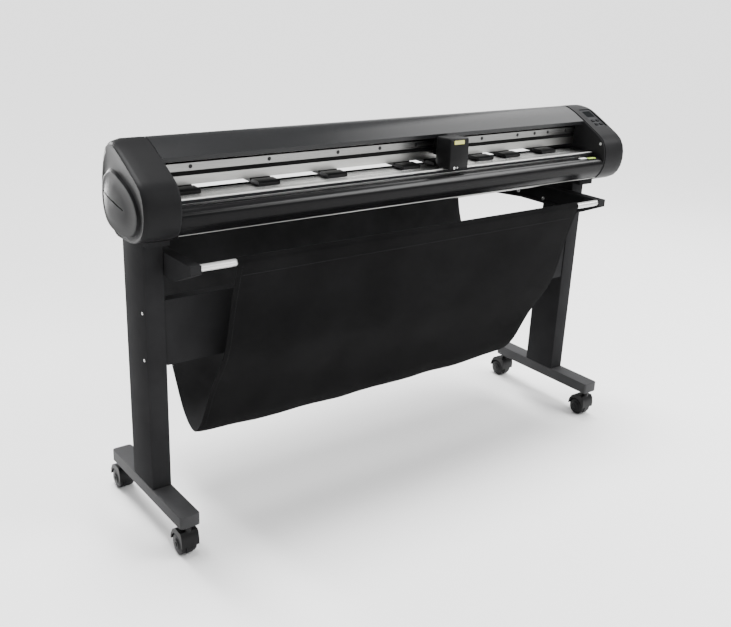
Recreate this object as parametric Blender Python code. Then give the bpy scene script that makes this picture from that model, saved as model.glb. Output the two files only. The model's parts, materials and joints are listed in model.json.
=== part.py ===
"""Floor-standing roll cutter for adhesive film: a long cutting head on a wheeled stand,
with a cloth catch basket slung between two arms under the head."""

import math

import bmesh
import bpy
import numpy as np
from mathutils import Matrix, Vector

# Driving dimensions in metres: X along the head, Y front (minus) to back from the middle of the feet, Z up
MACHINE_Y = -0.075
GAP = 0.0004

# Stand
POST_X = 0.740
POST_WIDTH = 0.053
POST_FRONT = -0.0525
POST_BACK = 0.0660
POST_WALL = 0.003
POST_PLATE_WIDTH = 0.060
POST_PLATE_FRONT = -0.085
POST_PLATE_BACK = 0.075
POST_PLATE_Z = (0.7745, 0.7872)
FOOT_WIDTH = 0.0545
FOOT_LENGTH = 0.4206
FOOT_Z = (0.0870, 0.1210)
STRETCHER_Y = -0.0335
STRETCHER_DEPTH = 0.030
STRETCHER_Z = (0.456, 0.627)
STRETCHER_WALL = 0.0025
ARM_WIDTH = 0.028
ARM_BACK = 0.3603
ARM_FRONT = -0.1900
ARM_TOP = 0.7495
ARM_BOTTOM = 0.691
ARM_WALL = 0.003
ARM_JOGGLE_Y = (0.140, 0.335)
ARM_JOGGLE = 0.075
TUBE_RADIUS = 0.009
FRONT_TUBE = (-0.1786, 0.7400)
REAR_TUBE = (0.3490, 0.7400)

# Cloth basket: half length, sheet thickness and the hung curve (y, z) between the two tubes
CLOTH_HALF = 0.590
CLOTH_THICK = 0.002
CLOTH_CURVE = (
    (-0.1560, 0.633), (-0.1150, 0.481), (-0.0370, 0.348), (0.0210, 0.229), (0.0660, 0.1905),
    (0.1270, 0.229), (0.1950, 0.3455), (0.2660, 0.467), (0.3250, 0.577), (0.3490, 0.660),
)
CLOTH_SAG = 0.018

# Casters
CASTER_STEM_Y = 0.191
CASTER_TRAIL = 0.016
WHEEL_RADIUS = 0.028
WHEEL_SIDES = 20
WHEEL_WIDTH = 0.0145
HOOD_WIDTH = 0.0175
FENDER_INNER = 0.0290
FENDER_OUTLINE = (
    (0.0318, 0.0030), (0.0293, 0.0185), (0.0195, 0.0350), (0.0060, 0.0430), (-0.0240, 0.0430),
    (-0.0298, 0.0350), (-0.0330, 0.0175), (-0.0325, 0.0030),
)
STEM_RADIUS = 0.0056
STEM_INSET = 0.014

# Head: outline of the end caps (y, z), the span between the caps and the caps' stations
HEAD_OUTLINE = (
    (0.030, 1.0105), (-0.010, 1.0020), (-0.062, 0.9770), (-0.112, 0.9500), (-0.140, 0.9335),
    (-0.156, 0.9150), (-0.1640, 0.8900), (-0.1650, 0.8650), (-0.1600, 0.8400), (-0.1460, 0.8165),
    (-0.1240, 0.8010), (-0.0850, 0.7905), (-0.0200, 0.7880), (0.0350, 0.7940), (0.0750, 0.8150),
    (0.0980, 0.8500), (0.1020, 0.8950), (0.0900, 0.9450), (0.0650, 0.9880),
)
SIDE_PANEL = (
    (0.0200, 0.9370), (-0.0200, 0.9390), (-0.0510, 0.9290), (-0.0890, 0.9140), (-0.1160, 0.8950),
    (-0.1320, 0.8710), (-0.1330, 0.8500), (-0.1200, 0.8270), (-0.0910, 0.8090), (-0.0300, 0.8010),
    (0.0250, 0.8090), (0.0530, 0.8330), (0.0620, 0.8750), (0.0500, 0.9150),
)
HEAD_CENTRE = (0.000, 0.866)
OUTLINE_POINTS = 48
SPAN_HALF = 0.7150
FRAME_INNER = 0.7155
FRAME_THICK = 0.0040
CAP_INNER = 0.7200
CAP_WALL = 0.0030
CAP_CREASE = 0.8075
CREASE_INSET = (0.0035, 0.0350)
CAP_DOME = 0.8170

# Head: sheet and extrusion positions
COVER_THICK = 0.0025
COVER_FRONT = (-0.0650, 0.9730)
COVER_BACK = (0.1020, 0.9050)
COVER_LIP_Z = 0.9620
NOSE_SHELF = 0.8755
NOSE_TOP = (-0.1600, 0.8655)
NOSE_BOTTOM = (-0.1400, 0.8110)
PAN_FRONT = (-0.1370, 0.8085)
PAN_BACK = (0.1000, 0.8520)
PAN_THICK = 0.0025
PLATEN_TOP = 0.8850
PLATEN_FRONT = -0.1180
PLATEN_BACK = -0.0302
STRIP_Y = (-0.1140, -0.1060)
STRIP_DEPTH = 0.0012
APRON_FRONT = (-0.0068, 0.8846)
BEAM_FRONT = -0.0300
BEAM_BACK = 0.0500
BEAM_Z = (0.8990, 0.9525)
BEAM_GROOVE_Z = (0.9210, 0.9320)
RAIL_PROUD = 0.0032

# Feed: grit shaft, lift bar and pinch rollers (y, z)
GRIT_AXIS = (-0.0185, 0.8765)
GRIT_RADIUS = 0.0090
GRIT_SHAFT_RADIUS = 0.0060
GRIT_DRUM = 0.064
PINCH_X = (-0.652, -0.434, -0.229, 0.019, 0.129, 0.298, 0.408, 0.562)
PINCH_WIDTH = 0.060
PINCH_TOE = -0.0720
PINCH_RADIUS = 0.0065
PINCH_ROLL = 0.022
PINCH_AXIS = (-0.0185, 0.8923)
LIFT_AXIS = (0.0220, 0.9050)
LIFT_BAR = 0.010
LEVER_X = 0.691
LEVER_END = (0.1280, 0.8710)

# Carriage and its drive
CARRIAGE_X = 0.129
CARRIAGE_WIDTH = 0.067
CARRIAGE_FRONT = -0.1400
CARRIAGE_BACK = -0.0800
CARRIAGE_Z = (0.8885, 0.9720)
BRACKET_X = (-0.004, 0.030)
BRACKET_LOW = 0.9120
HOLDER_OFFSET = -0.012
HOLDER_Y = -0.1100
HOLDER_RADIUS = 0.0062
PULLEY_X = 0.758
PULLEY_Z = 0.9688
PULLEY_RADIUS = 0.0064
BELT_THICK = 0.0012
BELT_Y = (-0.0080, 0.0000)
IDLER_TAB_GAP = 0.0030
IDLER_PIN = 0.0025
CARRIAGE_MOTOR = 0.042
FEED_MOTOR = 0.056

# Control panel on the right cap's slope, and the mains inlet at that cap's back
PANEL_CENTRE = (0.7705, -0.0535, 0.9790)
PANEL_SIZE = (0.052, 0.090)
PANEL_TILT = math.radians(27.6)
PANEL_THICK = 0.0040
PANEL_SINK = 0.0015
KEY_SIZE = (0.0130, 0.0105)
KEY_HEIGHT = 0.0055
KEY_GRID = ((-0.0105, -0.0130), (0.0105, -0.0130), (-0.0105, -0.0310), (0.0105, -0.0310))
LCD_SIZE = (0.036, 0.030)
LCD_Y = 0.0215
INLET_X = 0.748
INLET_Z = 0.888
INLET_SIZE = (0.027, 0.020)

for old in list(bpy.data.objects):
    bpy.data.objects.remove(old, do_unlink=True)

MACHINE = bpy.data.objects.new("machine", None)
MACHINE.location = (0.0, MACHINE_Y, 0.0)
bpy.context.scene.collection.objects.link(MACHINE)


# Materials
def material(name, colour, roughness, metallic=0.0):
    made = bpy.data.materials.new(name)
    made.use_nodes = True
    shader = made.node_tree.nodes["Principled BSDF"]
    shader.inputs["Base Color"].default_value = (*colour, 1.0)
    shader.inputs["Roughness"].default_value = roughness
    shader.inputs["Metallic"].default_value = metallic
    return made


BLACK_PAINT = material("black_paint", (0.035, 0.036, 0.038), 0.45, 0.2)
CAP_PLASTIC = material("cap_plastic", (0.045, 0.046, 0.048), 0.42)
COVER_METAL = material("cover_metal", (0.060, 0.061, 0.064), 0.32, 0.3)
SILVER = material("silver", (0.62, 0.62, 0.61), 0.30, 1.0)
CHROME = material("chrome", (0.86, 0.86, 0.85), 0.12, 1.0)
DARK_STEEL = material("dark_steel", (0.13, 0.13, 0.135), 0.45, 0.8)
BLACK_PLASTIC = material("black_plastic", (0.022, 0.022, 0.023), 0.40)
RUBBER = material("rubber", (0.018, 0.018, 0.018), 0.75)
CLOTH = material("cloth", (0.016, 0.016, 0.017), 0.92)
MAT_STRIP = material("mat_strip", (0.70, 0.70, 0.68), 0.55)
PANEL_PLASTIC = material("panel_plastic", (0.030, 0.031, 0.033), 0.35)
KEY_PLASTIC = material("key_plastic", (0.16, 0.165, 0.17), 0.45)


# Mesh helpers
def add_object(name, bm, surface, location=(0.0, 0.0, 0.0), sharp=32.0):
    """Makes a node from a bmesh whose points are given about its own location."""
    bmesh.ops.recalc_face_normals(bm, faces=bm.faces)
    mesh = bpy.data.meshes.new(name)
    bm.to_mesh(mesh)
    bm.free()
    mesh.materials.append(surface)
    return place_mesh(name, mesh, location, sharp)


def place_mesh(name, mesh, location, sharp=32.0):
    mesh.shade_smooth()
    mesh.set_sharp_from_angle(angle=math.radians(sharp))
    made = bpy.data.objects.new(name, mesh)
    made.location = location
    made.parent = MACHINE
    bpy.context.scene.collection.objects.link(made)
    return made


def stack(bm, loops, close=True):
    """Joins loops of equal count into a skin and closes both ends."""
    rings = [[bm.verts.new(point) for point in loop] for loop in loops]
    count = len(rings[0])
    for low, high in zip(rings, rings[1:]):
        for i in range(count):
            j = (i + 1) % count
            bm.faces.new((low[i], low[j], high[j], high[i]))
    if close:
        bm.faces.new(rings[0])
        bm.faces.new(rings[-1])
    return rings


def prism_x(bm, outline, x0, x1):
    """Extrudes a (y, z) outline along X."""
    stack(bm, [[(x, y, z) for y, z in outline] for x in (x0, x1)])


def box(bm, low, high):
    (x0, y0, z0), (x1, y1, z1) = low, high
    prism_x(bm, ((y0, z0), (y1, z0), (y1, z1), (y0, z1)), x0, x1)


def lathe_x(bm, profile, sides, centre=(0.0, 0.0), turn=0.0):
    """Turns an (x, radius) profile about an axis along X; both ends are closed flat."""
    loops = []
    for x, radius in profile:
        angles = [turn + 2 * math.pi * k / sides for k in range(sides)]
        loops.append([(x, centre[0] + radius * math.cos(a), centre[1] + radius * math.sin(a)) for a in angles])
    stack(bm, loops)


def rounded_rect(cx, cy, width, depth, radius, steps=2):
    """Points of a rectangle with round corners, in order round its centre."""
    points = []
    for quarter, (sx, sy) in enumerate(((1, 1), (-1, 1), (-1, -1), (1, -1))):
        for k in range(steps + 1):
            a = math.pi / 2 * (quarter + k / steps)
            x = cx + sx * (width / 2 - radius) + radius * math.cos(a)
            y = cy + sy * (depth / 2 - radius) + radius * math.sin(a)
            points.append((x, y))
    return points


def smooth_path(points, closed, per_span=12):
    """Points along a spline that runs through the given ones."""
    count = len(points)
    pts = [np.array(p, float) for p in points]
    spans = count if closed else count - 1
    found = []
    for i in range(spans):
        if closed:
            a, b, c, d = (pts[(i + k) % count] for k in (-1, 0, 1, 2))
        else:
            b, c = pts[i], pts[i + 1]
            a = pts[i - 1] if i > 0 else 2 * b - c
            d = pts[i + 2] if i + 2 < count else 2 * c - b
        for k in range(per_span):
            t = k / per_span
            bend = 2 * b + (c - a) * t + (2 * a - 5 * b + 4 * c - d) * t**2 + (3 * b - a - 3 * c + d) * t**3
            found.append(0.5 * bend)
    if not closed:
        found.append(pts[-1])
    return np.array(found)


def polar(points):
    """A closed outline as a function of the angle about the head's centre."""
    rel = smooth_path(points, True) - np.array(HEAD_CENTRE)
    angles = np.arctan2(rel[:, 1], rel[:, 0])
    order = np.argsort(angles)
    angles, radii = angles[order], np.hypot(rel[:, 0], rel[:, 1])[order]
    return lambda a: np.interp(a, angles, radii, period=2 * math.pi)


head_radius = polar(HEAD_OUTLINE)
panel_radius = polar(SIDE_PANEL)
OUTLINE_ANGLES = np.linspace(-math.pi, math.pi, OUTLINE_POINTS, endpoint=False)


def on_head(angle, inset):
    radius = float(head_radius(angle)) - inset
    return HEAD_CENTRE[0] + radius * math.cos(angle), HEAD_CENTRE[1] + radius * math.sin(angle)


def angle_of(point):
    return math.atan2(point[1] - HEAD_CENTRE[1], point[0] - HEAD_CENTRE[0])


def head_arc(start, end, inset, count):
    """Points on the head's outline, inset, from one point's direction to another's the short way."""
    a0 = angle_of(start)
    sweep = (angle_of(end) - a0 + math.pi) % (2 * math.pi) - math.pi
    return [on_head((a0 + sweep * k / count + math.pi) % (2 * math.pi) - math.pi, inset) for k in range(count + 1)]


def sheet(path, thick):
    """Closed outline of a bent sheet: the path and its copy moved to the left by the thickness."""
    pts = np.array(path, float)
    along = np.diff(pts, axis=0)
    along /= np.linalg.norm(along, axis=1)[:, None]
    normals = np.stack((-along[:, 1], along[:, 0]), axis=1)
    moved = [pts[0] + normals[0] * thick]
    for i in range(1, len(pts) - 1):
        mitre = normals[i - 1] + normals[i]
        moved.append(pts[i] + mitre * thick * 2 / max(mitre @ mitre, 0.5))
    moved.append(pts[-1] + normals[-1] * thick)
    return [tuple(p) for p in pts] + [tuple(p) for p in reversed(moved)]


def bevel(made, width, segments=2, angle=40.0):
    mod = made.modifiers.new("edge_round", "BEVEL")
    mod.width = width
    mod.segments = segments
    mod.limit_method = "ANGLE"
    mod.angle_limit = math.radians(angle)


def boolean(made, operation, build):
    """Cuts or joins a helper shape, built by a function that fills a bmesh."""
    bm = bmesh.new()
    build(bm)
    bmesh.ops.recalc_face_normals(bm, faces=bm.faces)
    mesh = bpy.data.meshes.new(made.name + "_helper")
    bm.to_mesh(mesh)
    bm.free()
    mod = made.modifiers.new(operation.lower(), "BOOLEAN")
    mod.operation = operation
    mod.object = add_helper(made.name, mesh, made.location)


def add_helper(name, mesh, location):
    helper = bpy.data.objects.new(name + "_helper", mesh)
    helper.parent = MACHINE
    helper.location = location
    helper.hide_render = True
    helper.display_type = "WIRE"
    bpy.context.scene.collection.objects.link(helper)
    return helper


def copy_cut(source, name, location):
    """Another node with the same mesh and the same cuts and unions, placed elsewhere."""
    made = place_mesh(name, source.data, location)
    for old in source.modifiers:
        mod = made.modifiers.new(old.name, "BOOLEAN")
        mod.operation = old.operation
        mod.object = add_helper(name, old.object.data, location)


# Stand
def make_foot(name, side):
    bm = bmesh.new()
    chamfer = 0.0015
    loops = []
    for z, shrink in ((FOOT_Z[0], chamfer), (FOOT_Z[0] + chamfer, 0), (FOOT_Z[1] - chamfer, 0), (FOOT_Z[1], chamfer)):
        ring = rounded_rect(0, 0, FOOT_WIDTH - 2 * shrink, FOOT_LENGTH - 2 * shrink, 0.007, 3)
        loops.append([(x, y, z) for x, y in ring])
    stack(bm, loops)
    foot = add_object(name, bm, BLACK_PAINT, (side * POST_X, 0, 0))

    def sockets(cutter):
        for y in (-CASTER_STEM_Y, CASTER_STEM_Y):
            bmesh.ops.create_cone(
                cutter, cap_ends=True, segments=16, radius1=STEM_RADIUS + GAP, radius2=STEM_RADIUS + GAP,
                depth=2 * (STEM_INSET + GAP), matrix=Matrix.Translation((0, y, FOOT_Z[0])))

    boolean(foot, "DIFFERENCE", sockets)


def make_post(name, side):
    bm = bmesh.new()
    mid = (POST_FRONT + POST_BACK) / 2
    depth = POST_BACK - POST_FRONT
    plate_mid = (POST_PLATE_FRONT + POST_PLATE_BACK) / 2
    plate_depth = POST_PLATE_BACK - POST_PLATE_FRONT
    foot_top = FOOT_Z[1] + GAP
    tube_top = POST_PLATE_Z[0]
    inner = (POST_WIDTH - 2 * POST_WALL, depth - 2 * POST_WALL)
    levels = (
        (tube_top - POST_WALL, mid, *inner), (foot_top, mid, *inner),
        (foot_top, mid, POST_WIDTH, depth), (tube_top, mid, POST_WIDTH, depth),
        (tube_top, plate_mid, POST_PLATE_WIDTH, plate_depth),
        (POST_PLATE_Z[1], plate_mid, POST_PLATE_WIDTH, plate_depth),
    )
    stack(bm, [[(x, y, z) for x, y in rounded_rect(0, my, w, d, 0.004)] for z, my, w, d in levels])
    add_object(name, bm, BLACK_PAINT, (side * POST_X, 0, 0))


def make_stretcher():
    """A folded steel pan, open at the back, with flanges on all four sides."""
    bm = bmesh.new()
    half = POST_X - POST_WIDTH / 2 - GAP
    front = STRETCHER_Y - STRETCHER_DEPTH / 2
    mid_z = sum(STRETCHER_Z) / 2
    height = STRETCHER_Z[1] - STRETCHER_Z[0]
    edge = 2 * STRETCHER_WALL
    rings = (
        (front + STRETCHER_WALL, 2 * half - edge, height - edge),
        (front + STRETCHER_DEPTH, 2 * half - edge, height - edge),
        (front + STRETCHER_DEPTH, 2 * half, height), (front, 2 * half, height),
    )
    stack(bm, [[(x, y, z) for x, z in rounded_rect(0, mid_z, w, h, 0.002, 1)] for y, w, h in rings])
    add_object("stretcher", bm, BLACK_PAINT)


def joggle(bm, side):
    """Sets the part of an arm behind its bend inwards, so that the arm clears the post's back."""
    start, end = ARM_JOGGLE_Y
    for y in ARM_JOGGLE_Y:
        everything = list(bm.verts) + list(bm.edges) + list(bm.faces)
        bmesh.ops.bisect_plane(bm, geom=everything, plane_co=(0, y, 0), plane_no=(0, 1, 0))
    for vert in bm.verts:
        share = (min(max(vert.co.y, start), end) - start) / (end - start)
        vert.co.x -= side * ARM_JOGGLE * share


def make_arm(name, side):
    """Pressed bracket with tapered ends, a set-in back half and a pocket that opens towards the basket."""
    taper = 0.085
    nose = 0.022
    outer = POST_X - POST_WIDTH / 2 - GAP
    outline = (
        (ARM_FRONT, ARM_TOP), (ARM_FRONT, ARM_TOP - nose), (ARM_FRONT + taper, ARM_BOTTOM),
        (ARM_BACK - taper, ARM_BOTTOM), (ARM_BACK, ARM_TOP - nose), (ARM_BACK, ARM_TOP),
    )
    pocket_front, pocket_back = ARM_FRONT + taper * 0.72, ARM_BACK - taper * 0.72
    low, high = ARM_BOTTOM + ARM_WALL, ARM_TOP - ARM_WALL
    pocket = (
        (pocket_front, high), (pocket_front, low + 0.016), (ARM_FRONT + taper + 0.002, low),
        (ARM_BACK - taper - 0.002, low), (pocket_back, low + 0.016), (pocket_back, high),
    )
    bm = bmesh.new()
    prism_x(bm, outline, side * (outer - ARM_WIDTH), side * outer)
    joggle(bm, side)
    arm = add_object(name, bm, BLACK_PAINT)

    def hollow(cutter):
        prism_x(cutter, pocket, side * (outer - ARM_WIDTH - 0.01), side * (outer - ARM_WALL))
        joggle(cutter, side)

    boolean(arm, "DIFFERENCE", hollow)


def make_tube(name, centre, inset=0.0):
    bm = bmesh.new()
    half = POST_X - POST_WIDTH / 2 - ARM_WIDTH - inset - 2 * GAP
    bore = TUBE_RADIUS - 0.0015
    profile = ((half - 0.040, bore), (half, bore), (half, TUBE_RADIUS), (-half, TUBE_RADIUS),
               (-half, bore), (-half + 0.040, bore))
    lathe_x(bm, profile, 20)
    add_object(name, bm, CHROME, (0, *centre))


def hem_arc(centre, start, end, count):
    radius = TUBE_RADIUS + 0.0008 + CLOTH_THICK / 2
    angles = np.radians(np.linspace(start, end, count))
    return [(centre[0] + radius * math.cos(a), centre[1] + radius * math.sin(a)) for a in angles]


def make_cloth():
    """One sheet: a hem hooked over each tube and a sling that hangs between them."""
    front_hem = hem_arc(FRONT_TUBE, -106, 195, 9)
    rear_hem = hem_arc(REAR_TUBE, -15, 286, 9)
    hung = [tuple(p) for p in smooth_path((front_hem[-1], *CLOTH_CURVE, rear_hem[0]), False, 2)]
    path = np.array(front_hem[:-1] + hung + rear_hem[1:])
    length = np.concatenate(([0], np.cumsum(np.linalg.norm(np.diff(path, axis=0), axis=1))))
    hang = np.sin(math.pi * np.clip((length - 0.06) / (length[-1] - 0.12), 0, 1)) ** 2
    along = np.gradient(path, axis=0)
    along /= np.linalg.norm(along, axis=1)[:, None]
    normal = np.stack((along[:, 1], -along[:, 0]), axis=1)
    columns = np.linspace(-CLOTH_HALF, CLOTH_HALF, 13)
    loops = []
    for x in columns:
        u = x / CLOTH_HALF
        flute = 0.0012 * math.cos(5 * math.pi * u) + 0.004 * (1 - u * u)
        middle = path - normal * (hang * flute)[:, None]
        middle[:, 1] -= hang * CLOTH_SAG * (1 - u**4)
        outer = middle - normal * CLOTH_THICK / 2
        inner = middle + normal * CLOTH_THICK / 2
        loops.append([(x, y, z) for y, z in outer] + [(x, y, z) for y, z in inner[::-1]])
    bm = bmesh.new()
    rings = stack(bm, loops, close=False)
    count = len(path)
    for ring in (rings[0], rings[-1]):
        for i in range(count - 1):
            bm.faces.new((ring[i], ring[i + 1], ring[2 * count - 2 - i], ring[2 * count - 1 - i]))
    add_object("basket_cloth", bm, CLOTH, sharp=60)


# Casters
def make_casters():
    axle_z = WHEEL_RADIUS * math.cos(math.pi / WHEEL_SIDES)
    axle = (CASTER_TRAIL, axle_z)
    hood_mesh = wheel_mesh = None
    for row, sy in (("front", -1), ("rear", 1)):
        for hand, sx in (("left", -1), ("right", 1)):
            stem = (sx * POST_X, sy * CASTER_STEM_Y, 0)
            hood_name, wheel_name = f"caster_hood_{row}_{hand}", f"caster_wheels_{row}_{hand}"
            wheel_at = (stem[0], stem[1] + CASTER_TRAIL, axle_z)
            if hood_mesh is None:
                hood_mesh = caster_hood(hood_name, axle, stem)
                wheel_mesh = caster_wheels(wheel_name, wheel_at)
                continue
            copy_cut(hood_mesh, hood_name, stem)
            place_mesh(wheel_name, wheel_mesh.data, wheel_at)


def caster_hood(name, axle, location):
    """Fender over both wheels, joined to the web between them and to the swivel stem."""
    ring = [(axle[0] + y, axle[1] + z) for y, z in FENDER_OUTLINE]
    for a in np.radians(np.linspace(174, 6, 13)):
        ring.append((axle[0] + FENDER_INNER * math.cos(a), axle[1] + FENDER_INNER * math.sin(a)))
    web_radius = FENDER_INNER + 0.0012
    web = []
    for a in np.radians(np.linspace(-40, 220, 15)):
        web.append((axle[0] + web_radius * math.cos(a), axle[1] + web_radius * math.sin(a)))
    half = HOOD_WIDTH / 2 + WHEEL_WIDTH + 0.0008
    bm = bmesh.new()
    prism_x(bm, ring, -half, half)
    hood = add_object(name, bm, BLACK_PLASTIC, location)
    boolean(hood, "UNION", lambda more: prism_x(more, web, -HOOD_WIDTH / 2, HOOD_WIDTH / 2))

    def stem_and_collar(more):
        base = axle[1] + FENDER_INNER + 0.003
        collar_top = FOOT_Z[0] - 0.0015
        loops = []
        for z, radius in ((base, 0.0105), (collar_top - 0.006, 0.0105), (collar_top, 0.0085),
                          (collar_top, STEM_RADIUS), (FOOT_Z[0] + STEM_INSET, STEM_RADIUS)):
            angles = [2 * math.pi * k / 14 for k in range(14)]
            loops.append([(radius * math.cos(a), radius * math.sin(a), z) for a in angles])
        stack(more, loops)

    boolean(hood, "UNION", stem_and_collar)
    boolean(hood, "DIFFERENCE", lambda cutter: lathe_x(cutter, ((-0.05, 0.0036), (0.05, 0.0036)), 14, axle))
    return hood


def caster_wheels(name, location):
    """Two round-shouldered wheels on one axle; the sides are flat where they meet the floor."""
    inner = HOOD_WIDTH / 2 + GAP
    outer = inner + WHEEL_WIDTH
    half = (
        (outer, 0.0070), (outer, 0.0160), (outer - 0.0012, 0.0178), (outer - 0.0012, 0.0216),
        (outer - 0.0036, 0.0262), (outer - 0.0070, WHEEL_RADIUS), (inner, WHEEL_RADIUS), (inner, 0.0031),
    )
    profile = half + tuple((-x, r) for x, r in reversed(half))
    bm = bmesh.new()
    lathe_x(bm, profile, WHEEL_SIDES, turn=math.pi / WHEEL_SIDES - math.pi / 2)
    return add_object(name, bm, BLACK_PLASTIC, location)


# Head shells
def cap_ring(x, inset_front, inset_back):
    """One station of a cap: the head's outline pulled in, more towards the back."""
    loop = []
    for a in OUTLINE_ANGLES:
        back = max(0.0, min(1.0, (math.cos(a) + 0.15) / 0.9))
        ease = back * back * (3 - 2 * back)
        y, z = on_head(a, inset_front + (inset_back - inset_front) * ease)
        loop.append((x, y, z))
    return loop


def panel_ring(x, blend, scale=1.0):
    """One station of the side face, between the crease (0) and the raised panel's border (1)."""
    crease = cap_ring(x, *CREASE_INSET)
    loop = []
    for a, (_, y, z) in zip(OUTLINE_ANGLES, crease):
        radius = math.hypot(y - HEAD_CENTRE[0], z - HEAD_CENTRE[1])
        radius = (radius * (1 - blend) + float(panel_radius(a)) * blend) * scale
        loop.append((x, HEAD_CENTRE[0] + radius * math.cos(a), HEAD_CENTRE[1] + radius * math.sin(a)))
    return loop


def make_cap(name, side):
    """Moulded shell: egg-shaped wall, crease, sunk rim, raised border and a domed side panel."""
    crest = CAP_CREASE + 0.0035
    loops = [
        panel_ring(CAP_CREASE - 0.0070, 1.0, 0.90), panel_ring(CAP_CREASE - 0.0070, 0.20),
        cap_ring(CAP_CREASE - 0.0140, CAP_WALL, 0.0190), cap_ring(CAP_INNER + 0.050, CAP_WALL, CAP_WALL),
        cap_ring(CAP_INNER, CAP_WALL, CAP_WALL), cap_ring(CAP_INNER, 0, 0), cap_ring(CAP_INNER + 0.052, 0, 0),
        cap_ring(CAP_CREASE - 0.0120, 0.0002, 0.0140), cap_ring(CAP_CREASE - 0.0035, 0.0012, 0.0260),
        cap_ring(CAP_CREASE, *CREASE_INSET), panel_ring(CAP_CREASE - 0.0004, 0.20),
        panel_ring(CAP_CREASE - 0.0022, 0.72), panel_ring(CAP_CREASE - 0.0014, 0.90),
        panel_ring(crest, 1.00), panel_ring(crest + 0.0006, 1.0, 0.965), panel_ring(crest - 0.0006, 1.0, 0.90),
        panel_ring(CAP_DOME - 0.0022, 1.0, 0.62), panel_ring(CAP_DOME, 1.0, 0.20),
    ]
    bm = bmesh.new()
    stack(bm, [[(side * x, y, z) for x, y, z in loop] for loop in loops])
    cap = add_object(name, bm, CAP_PLASTIC, sharp=38)

    def grip_slot(cutter):
        """Narrow slot in the side panel, from its back edge forwards."""
        bmesh.ops.create_cube(cutter, size=1.0)
        bmesh.ops.scale(cutter, verts=cutter.verts, vec=(0.010, 0.165, 0.0032))
        lean = Matrix.Rotation(math.radians(11.0), 4, "X")
        place = Matrix.Translation((side * (CAP_CREASE + 0.0062), 0.0135, 0.8805))
        bmesh.ops.transform(cutter, matrix=place @ lean, verts=cutter.verts)

    boolean(cap, "DIFFERENCE", grip_slot)
    return cap


def panel_place(offset=(0.0, 0.0, 0.0)):
    """Matrix of the sloped panel's own frame: its X along the head, its Z out of the slope."""
    base = Matrix.Translation(PANEL_CENTRE) @ Matrix.Rotation(PANEL_TILT, 4, "X")
    return base @ Matrix.Translation(offset)


def panel_box(bm, size, offset, radius=0.002):
    width, length, low, high = size
    ring = rounded_rect(offset[0], offset[1], width, length, radius)
    place = panel_place()
    stack(bm, [[place @ Vector((x, y, z)) for x, y in ring] for z in (low, high)])


def make_cover():
    """Bent sheet over the beam: front lip, long slope, round top and back wall."""
    arc = head_arc(COVER_FRONT, COVER_BACK, 0.0010, 18)
    lip = [(COVER_FRONT[0] + 0.0045, COVER_LIP_Z), (COVER_FRONT[0] + 0.0012, COVER_LIP_Z + 0.0012)]
    path = list(reversed(lip + arc))
    bm = bmesh.new()
    prism_x(bm, sheet(path, COVER_THICK), -SPAN_HALF, SPAN_HALF)
    add_object("top_cover", bm, COVER_METAL)


def make_nose():
    """Round front rail of the bed: a shelf under the platen's lip, the nose and a turned-up foot."""
    arc = head_arc(NOSE_TOP, NOSE_BOTTOM, 0.0025, 10)
    front, top = arc[0][0], NOSE_SHELF
    path = [(PLATEN_FRONT + 0.0060, top), (front + 0.0135, top), (front + 0.0065, top - 0.0016),
            (front + 0.0020, top - 0.0052)]
    path += arc + [(arc[-1][0] + 0.010, arc[-1][1] + 0.0030)]
    bm = bmesh.new()
    prism_x(bm, sheet(path, 0.0028), -SPAN_HALF, SPAN_HALF)
    add_object("front_nose", bm, BLACK_PAINT)


def make_pan():
    """Under tray: front lip, belly and back, and the apron that guides the sheet to the grit shaft."""
    arc = head_arc(PAN_FRONT, PAN_BACK, 0.0016, 16)
    path = arc + [(PAN_BACK[0] - 0.008, PAN_BACK[1] + 0.0035), APRON_FRONT]
    bm = bmesh.new()
    prism_x(bm, sheet(path, PAN_THICK), -SPAN_HALF, SPAN_HALF)
    add_object("belly_pan", bm, BLACK_PAINT)


def make_frame(name, side):
    """Steel end plate that carries the beam, the bed and the shafts."""
    bm = bmesh.new()
    loops = []
    for x in (FRAME_INNER, FRAME_INNER + FRAME_THICK):
        loops.append([(side * x, *on_head(a, 0.0022)) for a in OUTLINE_ANGLES])
    stack(bm, loops)
    frame = add_object(name, bm, BLACK_PAINT)

    def holes(cutter):
        lathe_x(cutter, [(e, GRIT_SHAFT_RADIUS + GAP) for e in (-1.0, 1.0)], 16, GRIT_AXIS)
        lathe_x(cutter, [(e, 0.0044) for e in (-1.0, 1.0)], 12, LIFT_AXIS)
        box(cutter, (-1.0, BELT_Y[0] - 0.002, PULLEY_Z - 0.0105), (1.0, BELT_Y[1] + 0.002, PULLEY_Z + 0.0105))

    boolean(frame, "DIFFERENCE", holes)
    if side < 0:
        boolean(frame, "UNION", idler_tab)
        boolean(frame, "UNION", idler_pin)


def idler_tab(bm):
    """Tab that stands out of the left plate, behind the belt."""
    front = BELT_Y[1] + IDLER_TAB_GAP
    back = front + 0.006
    box(bm, (-PULLEY_X - 0.006, front, PULLEY_Z - 0.009), (-FRAME_INNER - 0.001, back, PULLEY_Z + 0.009))


def idler_pin(bm):
    """Pin on that tab, which the idler pulley turns on."""
    ends = (BELT_Y[0] - 0.001, BELT_Y[1] + IDLER_TAB_GAP + 0.001)
    angles = [2 * math.pi * k / 12 for k in range(12)]
    loops = []
    for y in ends:
        ring = [(IDLER_PIN * math.cos(a) - PULLEY_X, y, IDLER_PIN * math.sin(a) + PULLEY_Z) for a in angles]
        loops.append(ring)
    stack(bm, loops)


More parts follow.
